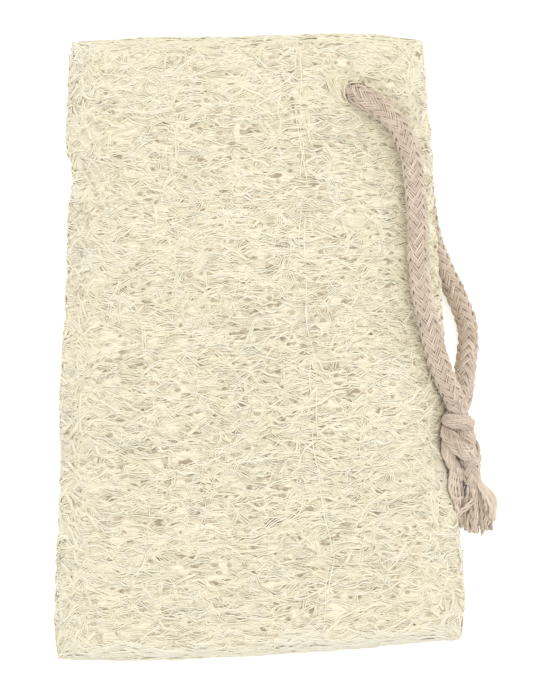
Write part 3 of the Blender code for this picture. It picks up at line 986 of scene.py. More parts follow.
@dataclass
class FibreNet:
    """The loofah's net of threads over every face of the pad.

    Attributes:
        shape: the pad.
        finish: the threads' finish.
        keep_clear: the cord's route, which the threads bend round.
        pores: the openings that the threads part round.
        seed: seed of the net's random draws.
        point_gap: distance between a thread's points.
        bundle: threads that run side by side.
        bundle_gap: distance between them.
        bends: wave length and swing of each wave in a thread's way.
        layers: the net's layers, the deepest first.
        long_strands: places of the pale strands along the pad, in mm.
        strand_radius: their radius.
        strand_tone: their tone.
        fans: stars of short threads on the upper face.
        cord_shadow: how far the painted shadow beside the cord darkens a thread.
        pieces: the pieces made.
    """

    shape: PadShape
    finish: FibreFinish
    keep_clear: CordWay
    pores: PoreField
    seed: int = 7
    point_gap: float = 1.5 * MM
    bundle: int = 3
    bundle_gap: float = 0.36 * MM
    bends: tuple[tuple[float, float], ...] = ((18 * MM, 0.22), (8.0 * MM, 0.34), (4.6 * MM, 0.28))
    layers: tuple[ThreadLayer, ...] = (
        # Painted shade: the deeper a layer lies, the darker its threads' tones run, standing in for the
        # shade under the upper threads.
        ThreadLayer(0.75, 0.21 * MM, 0.49 * MM, 0.08 * MM, 0.60, (6 * MM, 16 * MM), (0.18, 0.6), 0.12),
        ThreadLayer(1.18, 0.19 * MM, 0.38 * MM, 0.10 * MM, 0.40, (6 * MM, 16 * MM), (0.3, 0.78), 0.04),
        ThreadLayer(1.15, 0.19 * MM, 0.29 * MM, 0.10 * MM, 0.28, (5 * MM, 14 * MM), (0.42, 0.82), 0.01),
    )
    long_strands: tuple[tuple[tuple[float, float], ...], ...] = (
        ((9.4, 73.5), (9.7, 62.0), (10.2, 52.0), (10.6, 40.0), (10.4, 26.0), (11.2, 11.0), (12.3, -3.0),
         (13.4, -17.5), (14.4, -32.0), (15.6, -41.5), (16.8, -51.0), (16.4, -61.0), (15.8, -71.0)),
        ((7.8, 73.0), (8.4, 62.0), (9.9, 50.5), (11.0, 43.0)),
    )
    strand_radius: float = 0.24 * MM
    strand_tone: float = 0.85
    fans: int = 110
    cord_shadow: float = 0.6
    pieces: list[bpy.types.Object] = field(default_factory=list)

    def paths(self, draw: np.random.Generator, count: int, layer: ThreadLayer, points: int,
              spread: tuple[float, float]) -> tuple[Array, Array, Array]:
        """Wandering paths on a flat sheet, a few side by side, as two distances and a depth.

        Args:
            draw: seeded random source.
            count: number of bundles of threads.
            layer: the layer that they belong to.
            points: points of each thread.
            spread: size of the sheet in both directions.

        Returns:
            First distances, second distances and depths, threads by points.
        """
        length = draw.uniform(*layer.length, count)
        way = np.linspace(0.0, 1.0, points)[None, :] * length[:, None]
        heading = draw.normal(0.0, layer.lean, count)
        heading = np.where(draw.random(count) < layer.share_along, heading + math.pi / 2, heading)
        turn = heading[:, None] * np.ones_like(way)
        for wave, swing in self.bends:
            waves = wave * draw.uniform(0.75, 1.35, (count, 1))
            turn = turn + swing * draw.uniform(0.3, 1.2, (count, 1)) * np.sin(
                2 * math.pi * (way / waves + draw.random((count, 1))))
        step = length[:, None] / (points - 1)
        first = np.cumsum(np.cos(turn) * step, axis=1)
        second = np.cumsum(np.sin(turn) * step, axis=1)
        first += (draw.random(count) * spread[0] - first[:, points // 2])[:, None]
        second += (draw.random(count) * spread[1] - spread[1] / 2 - second[:, points // 2])[:, None]
        weave = 6.5 * MM * draw.uniform(0.7, 1.5, (count, 1))
        depth = layer.depth + layer.rise * np.sin(2 * math.pi * (way / weave + draw.random((count, 1))))
        depth = depth + draw.normal(0.0, 0.10 * MM, (count, 1))
        near_end = np.minimum(way, length[:, None] - way) / (1.8 * MM)
        depth = depth + 1.1 * MM * np.clip(1 - near_end, 0.0, 1.0) ** 2
        threads = []
        for number in range(self.bundle):
            place = number - (self.bundle - 1) / 2
            apart = draw.uniform(0.6, 1.3, (count, 1)) + 0.4 * np.sin(
                2 * math.pi * (way / (7 * MM) + draw.random((count, 1))))
            aside = self.bundle_gap * (place * apart + 0.25 * np.sin(
                2 * math.pi * (way / (3.3 * MM) + draw.random((count, 1)))))
            threads.append((first - np.sin(turn) * aside, second + np.cos(turn) * aside,
                            depth + 0.06 * MM * (abs(place) + draw.normal(0, 0.6, (count, 1)))))
        return tuple(np.concatenate(rows) for rows in zip(*threads))

    def lay(self, batch: ThreadBatch, draw: np.random.Generator, layer: ThreadLayer, face: Face,
            start: float, spread: tuple[float, float], density: float) -> None:
        """Lay one layer of threads over a face.

        Args:
            batch: where the threads go.
            draw: seeded random source.
            layer: the layer to lay.
            face: the face that it covers.
            start: where the face starts, in the first distance.
            spread: size of the face in both directions.
            density: share of the layer's cover that is laid.
        """
        mean = sum(layer.length) / 2
        bundle_area = 2 * layer.radius * mean * self.bundle
        bundles = int(density * layer.cover * spread[0] * spread[1] / bundle_area)
        count = bundles * self.bundle
        points = max(4, round(mean / self.point_gap))
        first, second, depth = self.paths(draw, bundles, layer, points, spread)
        if face is Face.AROUND:
            second = self.pores.part(first + start, second, layer.radius)
            limit = self.shape.half_length - 0.5 * MM
            second = np.clip(second, -limit, limit)
        else:
            limit = self.shape.half_width - 0.4 * MM
            first = np.clip(first - spread[0] / 2, -limit, limit)
        lines = self.shape.sunk(first + start, second, depth, face)
        tones = np.tile(draw.uniform(*layer.tone, bundles), self.bundle) + draw.normal(0.0, 0.08, count)
        radii = layer.radius * draw.lognormal(0.0, 0.22, (count, 1)) * np.ones((1, points))
        taper = np.linspace(-1, 1, points)[None, :] ** 8
        radii = np.minimum(radii, 0.48 * MM) * (1 - 0.55 * taper)
        # Painted shadow: threads near the cord's route get darker tones, as if they lay in its shade.
        tones = tones - self.cord_shadow * self.keep_clear.painted_shadow(lines[:, points // 2])
        lines, keep = self.keep_clear.bend(lines, radii)
        lines[..., 2] = np.maximum(lines[..., 2], radii)
        batch.add(lines[keep], radii[keep], tones[keep])

    def lay_fans(self, batch: ThreadBatch, draw: np.random.Generator) -> None:
        """Lay the stars of short threads that spread from one point of the upper face.

        Args:
            batch: where the threads go.
            draw: seeded random source.
        """
        rays, points = 7, 6
        first = draw.uniform(5 * MM, 2 * self.shape.half_width - 5 * MM, self.fans)
        second = draw.uniform(-1, 1, self.fans) * (self.shape.half_length - 4 * MM)
        heading = draw.normal(0, 0.36, (self.fans, rays))
        heading = heading + np.where(draw.random((self.fans, rays)) < 0.5, 0, math.pi)
        length = draw.uniform(2.0 * MM, 6 * MM, (self.fans, rays))
        t = np.linspace(0, 1, points)
        turn = heading[..., None] - 0.8 * np.sin(2 * heading)[..., None] / 2 * t
        step = length[..., None] / (points - 1)
        way_first = (first[:, None, None] + np.cumsum(np.cos(turn) * step, -1)
                     - np.cos(turn[..., :1]) * step)
        way_second = (second[:, None, None] + np.cumsum(np.sin(turn) * step, -1)
                      - np.sin(turn[..., :1]) * step)
        way_second = np.clip(way_second, -self.shape.half_length, self.shape.half_length)
        way_second = self.pores.part(way_first, way_second, 0.2 * MM)
        depth = np.broadcast_to((0.14 + 0.5 * t ** 1.5) * MM, way_first.shape)
        lines = self.shape.sunk(way_first, way_second, depth, Face.AROUND).reshape(-1, points, 3)
        radii = np.broadcast_to((0.21 - 0.06 * t) * MM, (len(lines), points))
        lines, keep = self.keep_clear.bend(lines, radii)
        batch.add(lines[keep], radii[keep], draw.uniform(0.5, 0.85, len(lines))[keep])

    def lay_long_strands(self, batch: ThreadBatch, draw: np.random.Generator) -> None:
        """Lay the pale strands that run along the pad over the rest of the net.

        Args:
            batch: where the threads go.
            draw: seeded random source.
        """
        for places in self.long_strands:
            line = smooth_path(np.array(places) * MM, 1.2 * MM)
            run = np.arange(len(line)) * 1.2 * MM
            for offset in (-0.3, 0.3):
                sway = 0.35 * MM * np.sin(run / (draw.uniform(2.0, 4.0) * MM) + draw.uniform(0, 6.3))
                sway = sway + 0.5 * MM * np.sin(run / (draw.uniform(6.0, 9.0) * MM) + draw.uniform(0, 6.3))
                first = self.shape.run_at(line[:, 0] + offset * MM + sway, line[:, 1])
                dips = np.sin(run / (draw.uniform(2.2, 4.5) * MM) + draw.uniform(0, 6.3))
                depth = (0.46 + 0.20 * dips) * MM
                ends = np.minimum(run, run[-1] - run) / (2.5 * MM)
                depth = depth + 0.7 * MM * np.clip(1 - ends, 0, 1)
                strand = self.shape.sunk(first, line[:, 1], depth, Face.AROUND)[None]
                batch.add(strand, self.strand_radius, self.strand_tone)

    def build(self) -> None:
        """Lay every layer over every face and make the net's pieces."""
        draw = np.random.default_rng(self.seed)
        material = self.finish.material("loofah_thread")
        wide, side = 2 * self.shape.half_width, self.shape.side_run
        long = 2 * self.shape.half_length
        rim, end = (side + 10 * MM, long), (wide, 26 * MM)
        sheets = (
            ("net_front_deep", self.layers[:1], Face.AROUND, 0.0, (wide, long), 1.0),
            ("net_front_middle", self.layers[1:2], Face.AROUND, 0.0, (wide, long), 1.0),
            ("net_front_top", self.layers[2:], Face.AROUND, 0.0, (wide, long), 1.0),
            ("net_right_rim", self.layers, Face.AROUND, wide - 6 * MM, rim, 0.66),
            ("net_left_rim", self.layers, Face.AROUND, 2 * wide + side - 4 * MM, rim, 0.66),
            ("net_back", self.layers[1:], Face.AROUND, wide + side, (wide, long), 0.33),
            ("net_far_end", self.layers[1:], Face.FAR_END, 0.0, end, 0.80),
            ("net_near_end", self.layers[1:], Face.NEAR_END, 0.0, end, 0.80),
        )
        for name, layers, face, start, spread, density in sheets:
            batch = ThreadBatch()
            for layer in layers:
                self.lay(batch, draw, layer, face, start, spread, density)
            if name == "net_front_top":
                self.lay_fans(batch, draw)
                self.lay_long_strands(batch, draw)
            self.pieces.append(batch.build(name, material, FIBRE_SLOT))


@dataclass
class NetInside:
    """Rough inner net just under the threads, with the cord's passage cut through it.

    Attributes:
        depth: how far it lies under the surface.
        cells: cells across, along and up the pad.
        relief: height of its bumps.
        passage: radius of the cord's passage.
        seed: seed of its bumps.
        waves: waves that make up the bumps.
    """

    shape: PadShape
    finish: CoreFinish
    way: CordWay
    depth: float = 0.50 * MM
    cells: tuple[int, int, int] = (72, 108, 15)
    relief: float = 0.18 * MM
    passage: float = 2.95 * MM
    seed: int = 3
    waves: int = 14

    def patch(self, axis: int, side: float) -> tuple[Array, Array]:
        """One of the six sides, as points of the pad's surface and faces.

        Args:
            axis: axis that the side faces.
            side: -1 or 1, the end of that axis.

        Returns:
            The points and the faces' point numbers.
        """
        spans = [np.linspace(-1, 1, count + 1) for count in self.cells]
        spans[axis] = np.array([side])
        grid = np.stack(np.meshgrid(*spans, indexing="ij"), axis=-1).squeeze(axis)
        points = self.shape.box_point(grid[..., 0], grid[..., 1], grid[..., 2], axis == 1)
        numbers = np.arange(points.shape[0] * points.shape[1]).reshape(points.shape[:2])
        corners = (numbers[:-1, :-1], numbers[1:, :-1], numbers[1:, 1:], numbers[:-1, 1:])
        faces = np.stack(corners, -1).reshape(-1, 4)
        if (side > 0) == (axis == 1):
            faces = faces[:, ::-1]
        return points.reshape(-1, 3), faces

    def bumps(self, points: Array) -> Array:
        """Uneven depth from a sum of waves, from -1 to 1 or so, at each point."""
        draw = np.random.default_rng(self.seed)
        total = np.zeros(len(points))
        for _ in range(self.waves):
            wave = draw.normal(size=3)
            wave *= 2 * math.pi / (np.linalg.norm(wave) * draw.uniform(2.6, 7.5) * MM)
            total += np.sin(points @ wave + draw.uniform(0, 2 * math.pi))
        return total / 3.5

    def build(self) -> bpy.types.Object:
        """Make the inner net, sink it, and cut the cord's passage through it.

        Returns:
            The new object.
        """
        shell = bmesh.new()
        for axis in range(3):
            for side in (-1.0, 1.0):
                points, faces = self.patch(axis, side)
                verts = [shell.verts.new(point) for point in points]
                for face in faces:
                    shell.faces.new([verts[n] for n in face])
        bmesh.ops.remove_doubles(shell, verts=shell.verts, dist=0.002 * MM)
        bmesh.ops.recalc_face_normals(shell, faces=shell.faces)
        shell.normal_update()
        places = np.array([vert.co for vert in shell.verts])
        normals = np.array([vert.normal for vert in shell.verts])
        sunk = places - normals * (self.depth + self.relief * (1 + self.bumps(places)) / 2)[:, None]
        for vert, place in zip(shell.verts, sunk):
            vert.co = place
        mesh = bpy.data.meshes.new("net_inside")
        shell.to_mesh(mesh)
        shell.free()
        mesh.shade_smooth()
        mesh.materials.append(self.finish.material("loofah_inside"))
        piece = bpy.data.objects.new("net_inside", mesh)
        bpy.context.scene.collection.objects.link(piece)
        self.cut(piece)
        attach(piece, ROOT)
        LOG.info("net_inside: %d triangles", sum(len(face.vertices) - 2 for face in piece.data.polygons))
        return piece

    def cut(self, piece: bpy.types.Object) -> None:
        """Cut the cord's passage out of a piece.

        Args:
            piece: the piece to cut.
        """
        line = self.way.line(1.6 * MM)[6:-4]
        rings = ThreadBatch()
        rings.add(line[None], self.passage, 0.0, 12)
        mesh = bpy.data.meshes.new("passage")
        mesh.from_pydata(np.concatenate(rings.points).tolist(), [],
                         [face for block in rings.faces for face in block.tolist()])
        cutter = bpy.data.objects.new("passage", mesh)
        bpy.context.scene.collection.objects.link(cutter)
        boolean = piece.modifiers.new("passage", "BOOLEAN")
        boolean.operation = "DIFFERENCE"
        boolean.solver = "MANIFOLD"
        boolean.object = cutter
        graph = bpy.context.evaluated_depsgraph_get()
        cut = bpy.data.meshes.new_from_object(piece.evaluated_get(graph))
        piece.modifiers.clear()
        piece.data = cut
        bpy.data.objects.remove(cutter)


@dataclass(frozen=True)
class Braid:
    """Round plait whose strands pass over two and under two, each of a few yarns side by side.

    Attributes:
        radius: radius over the yarns.
        strands: strands that wind each way.
        pitch: length in which a strand winds once round.
        yarn_radius: radius of one yarn.
        yarns: yarns side by side in a strand.
        weave: how far the strands rise and dip.
        filler: radius of the hidden inner yarns, as a share of the radius.
        closeness: how tightly a strand's yarns lie, as a share of the room they have.
    """

    radius: float = 2.7 * MM
    strands: int = 8
    pitch: float = 20.0 * MM
    yarn_radius: float = 0.24 * MM
    yarns: int = 3
    weave: float = 0.3 * MM
    filler: float = 0.70
    closeness: float = 0.9

    def lay(self, batch: ThreadBatch, line: Array, draw: np.random.Generator, start: int = 0,
            stop: int | None = None, swell: Array | float = 1.0) -> None:
        """Plait yarns round a line.

        Args:
            batch: where the yarns go.
            line: the middle line, one row for each point.
            draw: seeded random source for the yarns' tones and unevenness.
            start: first point of the line to use.
            stop: point of the line to stop before.
            swell: factor on the radius, for each point or for all.
        """
        _, first, second = carried_frames(line[None])
        first, second = first[0], second[0]
        steps = np.linalg.norm(np.diff(line, axis=0), axis=1)
        run = np.concatenate([[0.0], np.cumsum(steps)])
        swell = np.broadcast_to(swell, run.shape)
        middle = self.radius - self.yarn_radius - self.weave
        gap = self.closeness * 2 * math.pi / self.strands / self.yarns
        lines = []
        for way in (1, -1):
            for strand in range(self.strands):
                angle = way * 2 * math.pi * run / self.pitch + 2 * math.pi * strand / self.strands
                phase = self.strands / 2 * angle
                height = np.tanh(2.0 * np.sin(phase)) * way * self.weave
                for yarn in range(self.yarns):
                    beside = angle + (yarn - (self.yarns - 1) / 2) * gap
                    beside = beside + 0.035 * np.sin(run / (1.9 * MM) + draw.uniform(0, 6.3))
                    wobble = 0.08 * MM * np.sin(run / (2.3 * MM) + draw.uniform(0, 6.3))
                    reach = (middle + height + wobble) * swell
                    out = np.cos(beside)[:, None] * first + np.sin(beside)[:, None] * second
                    lines.append(line + out * reach[:, None])
        lines = np.array(lines)[:, start:stop]
        tones = np.clip(draw.normal(0.48, 0.17, len(lines)), 0, 1)
        batch.add(lines, self.yarn_radius * np.sqrt(swell[None, start:stop]), tones, 4)
        batch.add(line[None, start:stop], self.filler * self.radius * swell[None, start:stop], 0.4, 10)


@dataclass(frozen=True)
class KnotTurn:
    """Turn of the cord round the knot, in mm about the knot's middle.

    Attributes:
        offset: its middle.
        half_x: half of its width.
        half_z: half of its height.
        lean: how far it leans along the cord.
        about: angle about the cord's line.
        radius: radius of its cord.
    """

    offset: tuple[float, float, float]
    half_x: float
    half_z: float
    lean: float
    about: float
    radius: float

    def line(self, middle: Array) -> Array:
        """Middle line of the turn, a little more than once round, from its hidden side.

        Args:
            middle: the knot's middle.

        Returns:
            The points, one row each.
        """
        angle = np.linspace(-0.5 * math.pi - 0.2, 1.5 * math.pi + 0.2, 22)
        flat = np.stack([np.cos(angle) * self.half_x, np.sin(angle) * self.lean,
                         np.sin(angle) * self.half_z], axis=1)
        turned = flat.copy()
        turned[:, 0] = flat[:, 0] * math.cos(self.about) + flat[:, 2] * math.sin(self.about)
        turned[:, 2] = flat[:, 2] * math.cos(self.about) - flat[:, 0] * math.sin(self.about)
        return smooth_path(middle + (np.array(self.offset) + turned) * MM, 0.7 * MM)


@dataclass
class CordWork:
    """The braided loop, the overhand knot that closes it and the frayed tassel below.

    Attributes:
        way: the cord's route.
        finish: the yarns' finish.
        braid: the loop's plait.
        knot_middle: middle of the knot in mm.
        tassel_top: where the tails leave the knot, in mm.
        tassel_neck: where the tails open into yarns, in mm.
        collar: level turn at the top of the knot.
        band: leaning turn across the front of the knot.
        shoulder: places of the strand down the knot's right side, in mm about its middle.
        leaving: places of the strand that leaves at the lower left, in mm about its middle.
        side_neck: places near the lower end of that strand, in mm.
        side_share: share of the yarns that come out of it.
        fan: left and right ends of the tassel's fan, in mm.
        short_end: where the shortest yarns end, in mm.
        long_end: where the longest yarns end, in mm.
        bow: how far the outermost yarn bows out, in mm.
        reach_x: how far right a yarn's middle line may lie, in mm.
        reach_soft: width over which the yarns are held back from there, in mm.
        ply_radius: radius of one of a yarn's two plies.
        hair_top: height over which no hair reaches.
        seed: seed of the cord's random draws.
        loose: places of the yarns that drape over the pad's rim or stray across the tassel, in mm.
        inner_yarns: thicker strands that lie under the yarns.
        inner_radius: their radius.
        hidden: places of a plaited strand behind the knot, in mm.
        yarns: loose yarns of the tassel.
    """

    way: CordWay
    finish: CottonFinish
    braid: Braid = field(default_factory=Braid)
    knot_middle: tuple[float, float, float] = (47.5, -20.6, 13.1)
    tassel_top: tuple[float, float, float] = (50.5, -27.4, 11.4)
    tassel_neck: tuple[float, float, float] = (51.1, -32.6, 8.6)
    collar: KnotTurn = KnotTurn((0.1, 2.7, 1.3), 3.1, 2.35, -0.3, 1.57, 1.8)
    band: KnotTurn = KnotTurn((0.1, -2.0, 0.9), 2.7, 2.6, -2.7, 1.05, 2.0)
    shoulder: tuple[tuple[float, float, float], ...] = ((1.6, 3.0, 0.4), (2.2, 0.6, 0.7), (3.2, -3.4, 0.2))
    leaving: tuple[tuple[float, float, float], ...] = (
        (-2.4, -1.2, 1.3), (-2.6, -3.8, 1.5), (-1.8, -6.2, 1.1), (-0.35, -8.8, -0.9), (0.5, -11.3, -3.7))
    side_neck: tuple[tuple[float, float, float], ...] = ((47.15, -29.4, 12.2), (48.0, -31.9, 9.4))
    side_share: float = 0.25
    fan: tuple[float, float] = (46.8, 56.5)
    short_end: float = -38.2
    long_end: float = -45.2
    loose: tuple[tuple[tuple[float, float, float], ...], ...] = (
        ((46.3, -28.0, 13.9), (45.7, -31.2, 14.0), (45.5, -33.8, 13.9), (46.3, -36.4, 13.0)),
        ((46.6, -28.2, 13.6), (46.3, -31.5, 13.5), (46.2, -34.5, 13.0), (46.8, -37.3, 11.8),
         (47.2, -39.4, 10.6)),
        ((46.9, -28.6, 13.4), (46.8, -32.0, 12.6), (47.0, -35.0, 11.6), (47.4, -38.0, 10.0),
         (47.5, -41.0, 8.2)),
        ((47.3, -28.8, 13.0), (47.5, -32.2, 11.8), (47.9, -35.2, 10.5), (48.0, -38.2, 8.6),
         (47.8, -41.5, 6.4)),
        ((46.0, -29.5, 14.0), (45.5, -33.0, 14.1), (46.0, -35.6, 13.9), (47.4, -36.4, 12.9),
         (48.6, -36.0, 12.0)),
        ((51.2, -36.4, 8.2), (49.6, -38.2, 8.6), (48.2, -39.2, 8.8), (46.9, -40.2, 9.2)),
        ((51.4, -37.2, 7.8), (49.8, -38.8, 8.2), (48.4, -39.8, 8.4), (47.3, -40.6, 8.6)),
    )
    inner_yarns: int = 40
    inner_radius: float = 0.55 * MM
    hidden: tuple[tuple[float, float, float], ...] = (
        (46.3, -13.6, 9.0), (47.4, -21.0, 7.6), (48.6, -28.0, 6.6), (49.4, -33.0, 5.0))
    yarns: int = 54
    bow: float = 2.3
    reach_x: float = 57.2
    reach_soft: float = 1.6
    ply_radius: float = 0.26 * MM
    hair_top: float = 25.2 * MM
    seed: int = 5

    def whole_line(self) -> tuple[Array, int, int]:
        """Line of the loop, carried on into the knot at both ends.

        Returns:
            The points, the number of points before the loop, and the number where the loop ends.
        """
        loop = self.way.line(1.1 * MM)
        middle = np.array(self.knot_middle) * MM + np.array([0.0, 1.0, 0.0]) * MM
        onward = 2.2
        enter = loop[0] + (loop[0] - loop[1]) * onward
        leave = loop[-1] + (loop[-1] - loop[-2]) * onward
        lead_in = smooth_path(np.array([middle, enter, loop[0]]), 0.9 * MM)
        lead_out = smooth_path(np.array([loop[-1], leave, middle]), 0.9 * MM)
        whole = np.vstack([lead_in[:-1], loop, lead_out[1:]])
        return whole, len(lead_in) - 1, len(lead_in) - 1 + len(loop)

    def build_loop(self, draw: np.random.Generator, material: bpy.types.Material) -> bpy.types.Object:
        """Plait the loop.

        Args:
            draw: seeded random source.
            material: the yarns' material.

        Returns:
            The loop's object.
        """
        whole, start, stop = self.whole_line()
        batch = ThreadBatch()
        self.braid.lay(batch, whole, draw, start, stop)
        self.fuzz(batch, whole[start:stop], draw, 420)
        return batch.build("cord_braid", material, COTTON_SLOT)

    def fuzz(self, batch: ThreadBatch, line: Array, draw: np.random.Generator, count: int) -> None:
        """Add short loose hairs that stand off the cord.

        Args:
            batch: where the hairs go.
            line: the cord's middle line.
            draw: seeded random source.
            count: number of hairs.
        """
        _, first, second = carried_frames(line[None])
        tangent = np.gradient(line, axis=0)
        tangent /= np.linalg.norm(tangent, axis=1, keepdims=True)
        at = draw.integers(1, len(line) - 1, count)
        angle = draw.uniform(0, 2 * math.pi, count)
        out = np.cos(angle)[:, None] * first[0, at] + np.sin(angle)[:, None] * second[0, at]
        along = tangent[at] * draw.choice((-1, 1), count)[:, None]
        side = np.cross(out, along)
        root = line[at] + out * (self.braid.radius - 0.25 * MM)
        length = draw.uniform(0.9, 2.2, count)[:, None] * MM
        t = np.linspace(0, 1, 5)[None, :, None]
        rise = draw.uniform(0.10, 0.38, count)[:, None, None] * length[:, None]
        bend = draw.normal(0, 0.5, count)[:, None, None] * length[:, None]
        hairs = (root[:, None] + along[:, None] * length[:, None] * t
                 + out[:, None] * rise * np.sin(math.pi * 0.7 * t) + side[:, None] * bend * t ** 2)
        hairs[..., 2] = np.clip(hairs[..., 2], 0.06 * MM, self.hair_top)
        batch.add(hairs, 0.045 * MM, draw.uniform(0.5, 1.0, count))

    def build_knot(self, draw: np.random.Generator, material: bpy.types.Material) -> bpy.types.Object:
        """Make the knot from the cord's ends, its turns and the strands beside them.

        Args:
            draw: seeded random source.
            material: the yarns' material.

        Returns:
            The knot's object.
        """
        middle = np.array(self.knot_middle) * MM
        top = np.array(self.tassel_top) * MM
        batch = ThreadBatch()
        whole, start, stop = self.whole_line()
        number = np.arange(len(whole))
        shrink, thinnest = 0.11, 0.45
        before = 1 - shrink * np.maximum(start - number, 0)
        after = 1 - shrink * np.maximum(number - stop + 1, 0)
        swell = np.maximum(np.minimum(before, after), thinnest)
        self.braid.lay(batch, whole, draw, 0, start + 1, swell)
        self.braid.lay(batch, whole, draw, stop - 1, None, swell)
        leave = (np.array(self.tassel_neck) - np.array(self.tassel_top))
        leave /= np.linalg.norm(leave)
        inside = (middle + np.array([0, 5.0, 0]) * MM, middle + np.array([0, 2.0, 0.2]) * MM,
                  top - leave * 3.2 * MM, top - leave * 0.35 * MM)
        core = smooth_path(np.array(inside), 0.8 * MM)
        Braid(2.9 * MM, 8, 22 * MM, 0.26 * MM, 3).lay(batch, core, draw)
        collar = Braid(self.collar.radius * MM, 5, 26 * MM, 0.22 * MM, 4, 0.12 * MM)
        collar.lay(batch, self.collar.line(middle), draw)
        band = Braid(self.band.radius * MM, 6, 15 * MM, 0.25 * MM, 3, 0.16 * MM)
        band.lay(batch, self.band.line(middle), draw)
        for places, radius in ((self.shoulder, 1.8 * MM), (self.leaving, 1.6 * MM)):
            line = smooth_path(middle + np.array(places) * MM, 0.7 * MM)
            ends = np.linspace(-1, 1, len(line))
            swell = 1 - 0.35 * np.abs(ends) ** 6
            Braid(radius, 6, 16 * MM, 0.25 * MM, 3, 0.15 * MM).lay(batch, line, draw, swell=swell)
        return batch.build("cord_knot_yarns", material, COTTON_SLOT)

    def yarn_line(self, number: float, draw: np.random.Generator) -> Array:
        """Middle line of one loose yarn, from inside a neck to its end on the surface.

        Args:
            number: which yarn, from the left.
            draw: seeded random source.

        Returns:
            The points, one row each.
        """
        spread = min(max((number + draw.uniform(-0.4, 0.4)) / (self.yarns - 1), 0.0), 1.0)
        layer = int(number) % 4
        reach = math.sin(math.pi * (0.12 + 0.72 * spread)) ** 0.6
        end_y = self.short_end + (self.long_end - self.short_end) * reach + draw.uniform(-0.2, 1.3)
        end_y += draw.uniform(0.5, 2.5) if layer == 3 else 0.0
        place = min(max(spread + draw.uniform(-0.13, 0.13), 0.0), 1.0)
        end_x = self.fan[0] + (self.fan[1] - self.fan[0]) * place
        end = np.array([end_x, end_y, 0.6 + 0.75 * layer])
        on_side = spread < self.side_share
        beside = spread - (self.side_share / 2 if on_side else 0.5)
        top, neck = np.array(self.tassel_top), np.array(self.tassel_neck)
        root = np.array(self.side_neck[0]) if on_side else top * 0.45 + neck * 0.55
        leave = np.array(self.side_neck[1]) if on_side else neck
        root = root + np.array([beside * 3.2, 0.0, (layer - 1.5) * (0.4 if on_side else 0.75)])
        leave = leave + np.array([beside * 4.4, 0.0, (layer - 1.5) * (0.5 if on_side else 0.85)])
        bow = self.bow * max(2 * spread - 1, 0.0) ** 2
        bend = leave * 0.5 + end * 0.5 + np.array(
            [bow + draw.uniform(-1.2, 0.9), 0.0, draw.uniform(0.3, 1.1)])
        late = leave * 0.2 + end * 0.8 + np.array(
            [0.6 * bow + draw.uniform(-0.8, 0.8), 0.0, draw.uniform(0.0, 0.5)])
        yarn = smooth_path(np.array([root, leave, bend, late, end]) * MM, 0.6 * MM)
        soft = self.reach_soft * MM
        over = np.maximum(yarn[:, 0] - (self.reach_x - self.reach_soft) * MM, 0) / soft
        yarn[:, 0] += soft * (1 - np.exp(-over) - over)
        yarn[:, 2] = np.maximum(yarn[:, 2], 2.1 * self.ply_radius)
        return yarn

    def build_tassel(self, draw: np.random.Generator, material: bpy.types.Material) -> bpy.types.Object:
        """Make the short plaited neck and the loose two-ply yarns that fan out of it.

        Args:
            draw: seeded random source.
            material: the yarns' material.

        Returns:
            The tassel's object.
        """
        top, neck = np.array(self.tassel_top) * MM, np.array(self.tassel_neck) * MM
        batch = ThreadBatch()
        above = top + (top - neck) * 0.4
        halfway = (top + neck) / 2 + np.array([0, 0, 0.3]) * MM
        line = smooth_path(np.array([above, top, halfway, neck]), 0.7 * MM)
        narrowing = np.linspace(1.12, 0.85, len(line))
        Braid(2.5 * MM, 8, 21 * MM, 0.25 * MM, 3).lay(batch, line, draw, swell=narrowing)
        for n in range(self.inner_yarns):
            yarn = self.yarn_line(n * self.yarns / self.inner_yarns, draw)
            yarn[:, 2] = np.maximum(yarn[:, 2] * 0.75, self.inner_radius)
            batch.add(yarn[None, :-4], self.inner_radius, 0.8, 5)
        behind = smooth_path(np.array(self.hidden) * MM, 1.1 * MM)
        Braid(1.7 * MM, 6, 16 * MM, 0.25 * MM, 3, 0.15 * MM).lay(batch, behind, draw)
        lines = [self.yarn_line(n, draw) for n in range(self.yarns)]
        lines += [smooth_path(np.array(places) * MM, 0.6 * MM) for places in self.loose]
        for yarn in lines:
            _, first, second = carried_frames(yarn[None])
            run = np.arange(len(yarn)) * 0.6 * MM
            loosen = 0.18 * MM * (1 + 0.8 * np.clip((np.arange(len(yarn)) - len(yarn) + 4) / 4, 0, 1))
            angles = 2 * math.pi * run / (4.6 * MM) + np.array([[0.0], [math.pi]])
            out = np.cos(angles)[..., None] * first[0] + np.sin(angles)[..., None] * second[0]
            plies = yarn + out * loosen[:, None]
            plies[..., 2] = np.maximum(plies[..., 2], self.ply_radius)
            batch.add(plies, self.ply_radius, float(np.clip(draw.normal(0.66, 0.2), 0, 1)), 4)
        return batch.build("cord_tassel_yarns", material, COTTON_SLOT)

    def build(self) -> None:
        draw = np.random.default_rng(self.seed)
        material = self.finish.material("cotton_yarn")
        loop = self.build_loop(draw, material)
        knot = self.build_knot(draw, material)
        tassel = self.build_tassel(draw, material)
        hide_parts("cord_loop")
        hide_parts("cord_knot")
        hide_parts("cord_tassel")
        line = self.way.line(1.5 * MM)
        LOG.info("cord loop: %.1f mm", path_length(line) / MM)


@dataclass(frozen=True)
class Lamp:
    """Soft square lamp that faces the pad.

    Attributes:
        name: its name.
        place: where it stands.
        size: its side.
        power: its power in watts.
        colour: its colour.
    """

    name: str
    place: tuple[float, float, float]
    size: float
    power: float
    colour: tuple[float, float, float]

    def build(self) -> None:
        """Add the lamp to the scene."""
        data = bpy.data.lights.new(self.name, "AREA")
        data.size = self.size
        data.energy = self.power
        data.color = self.colour
        lamp = bpy.data.objects.new(self.name, data)
        lamp.location = self.place
        lamp.rotation_euler = Euler((Vector(self.place) * -1).to_track_quat("-Z", "Y").to_euler())
        bpy.context.scene.collection.objects.link(lamp)


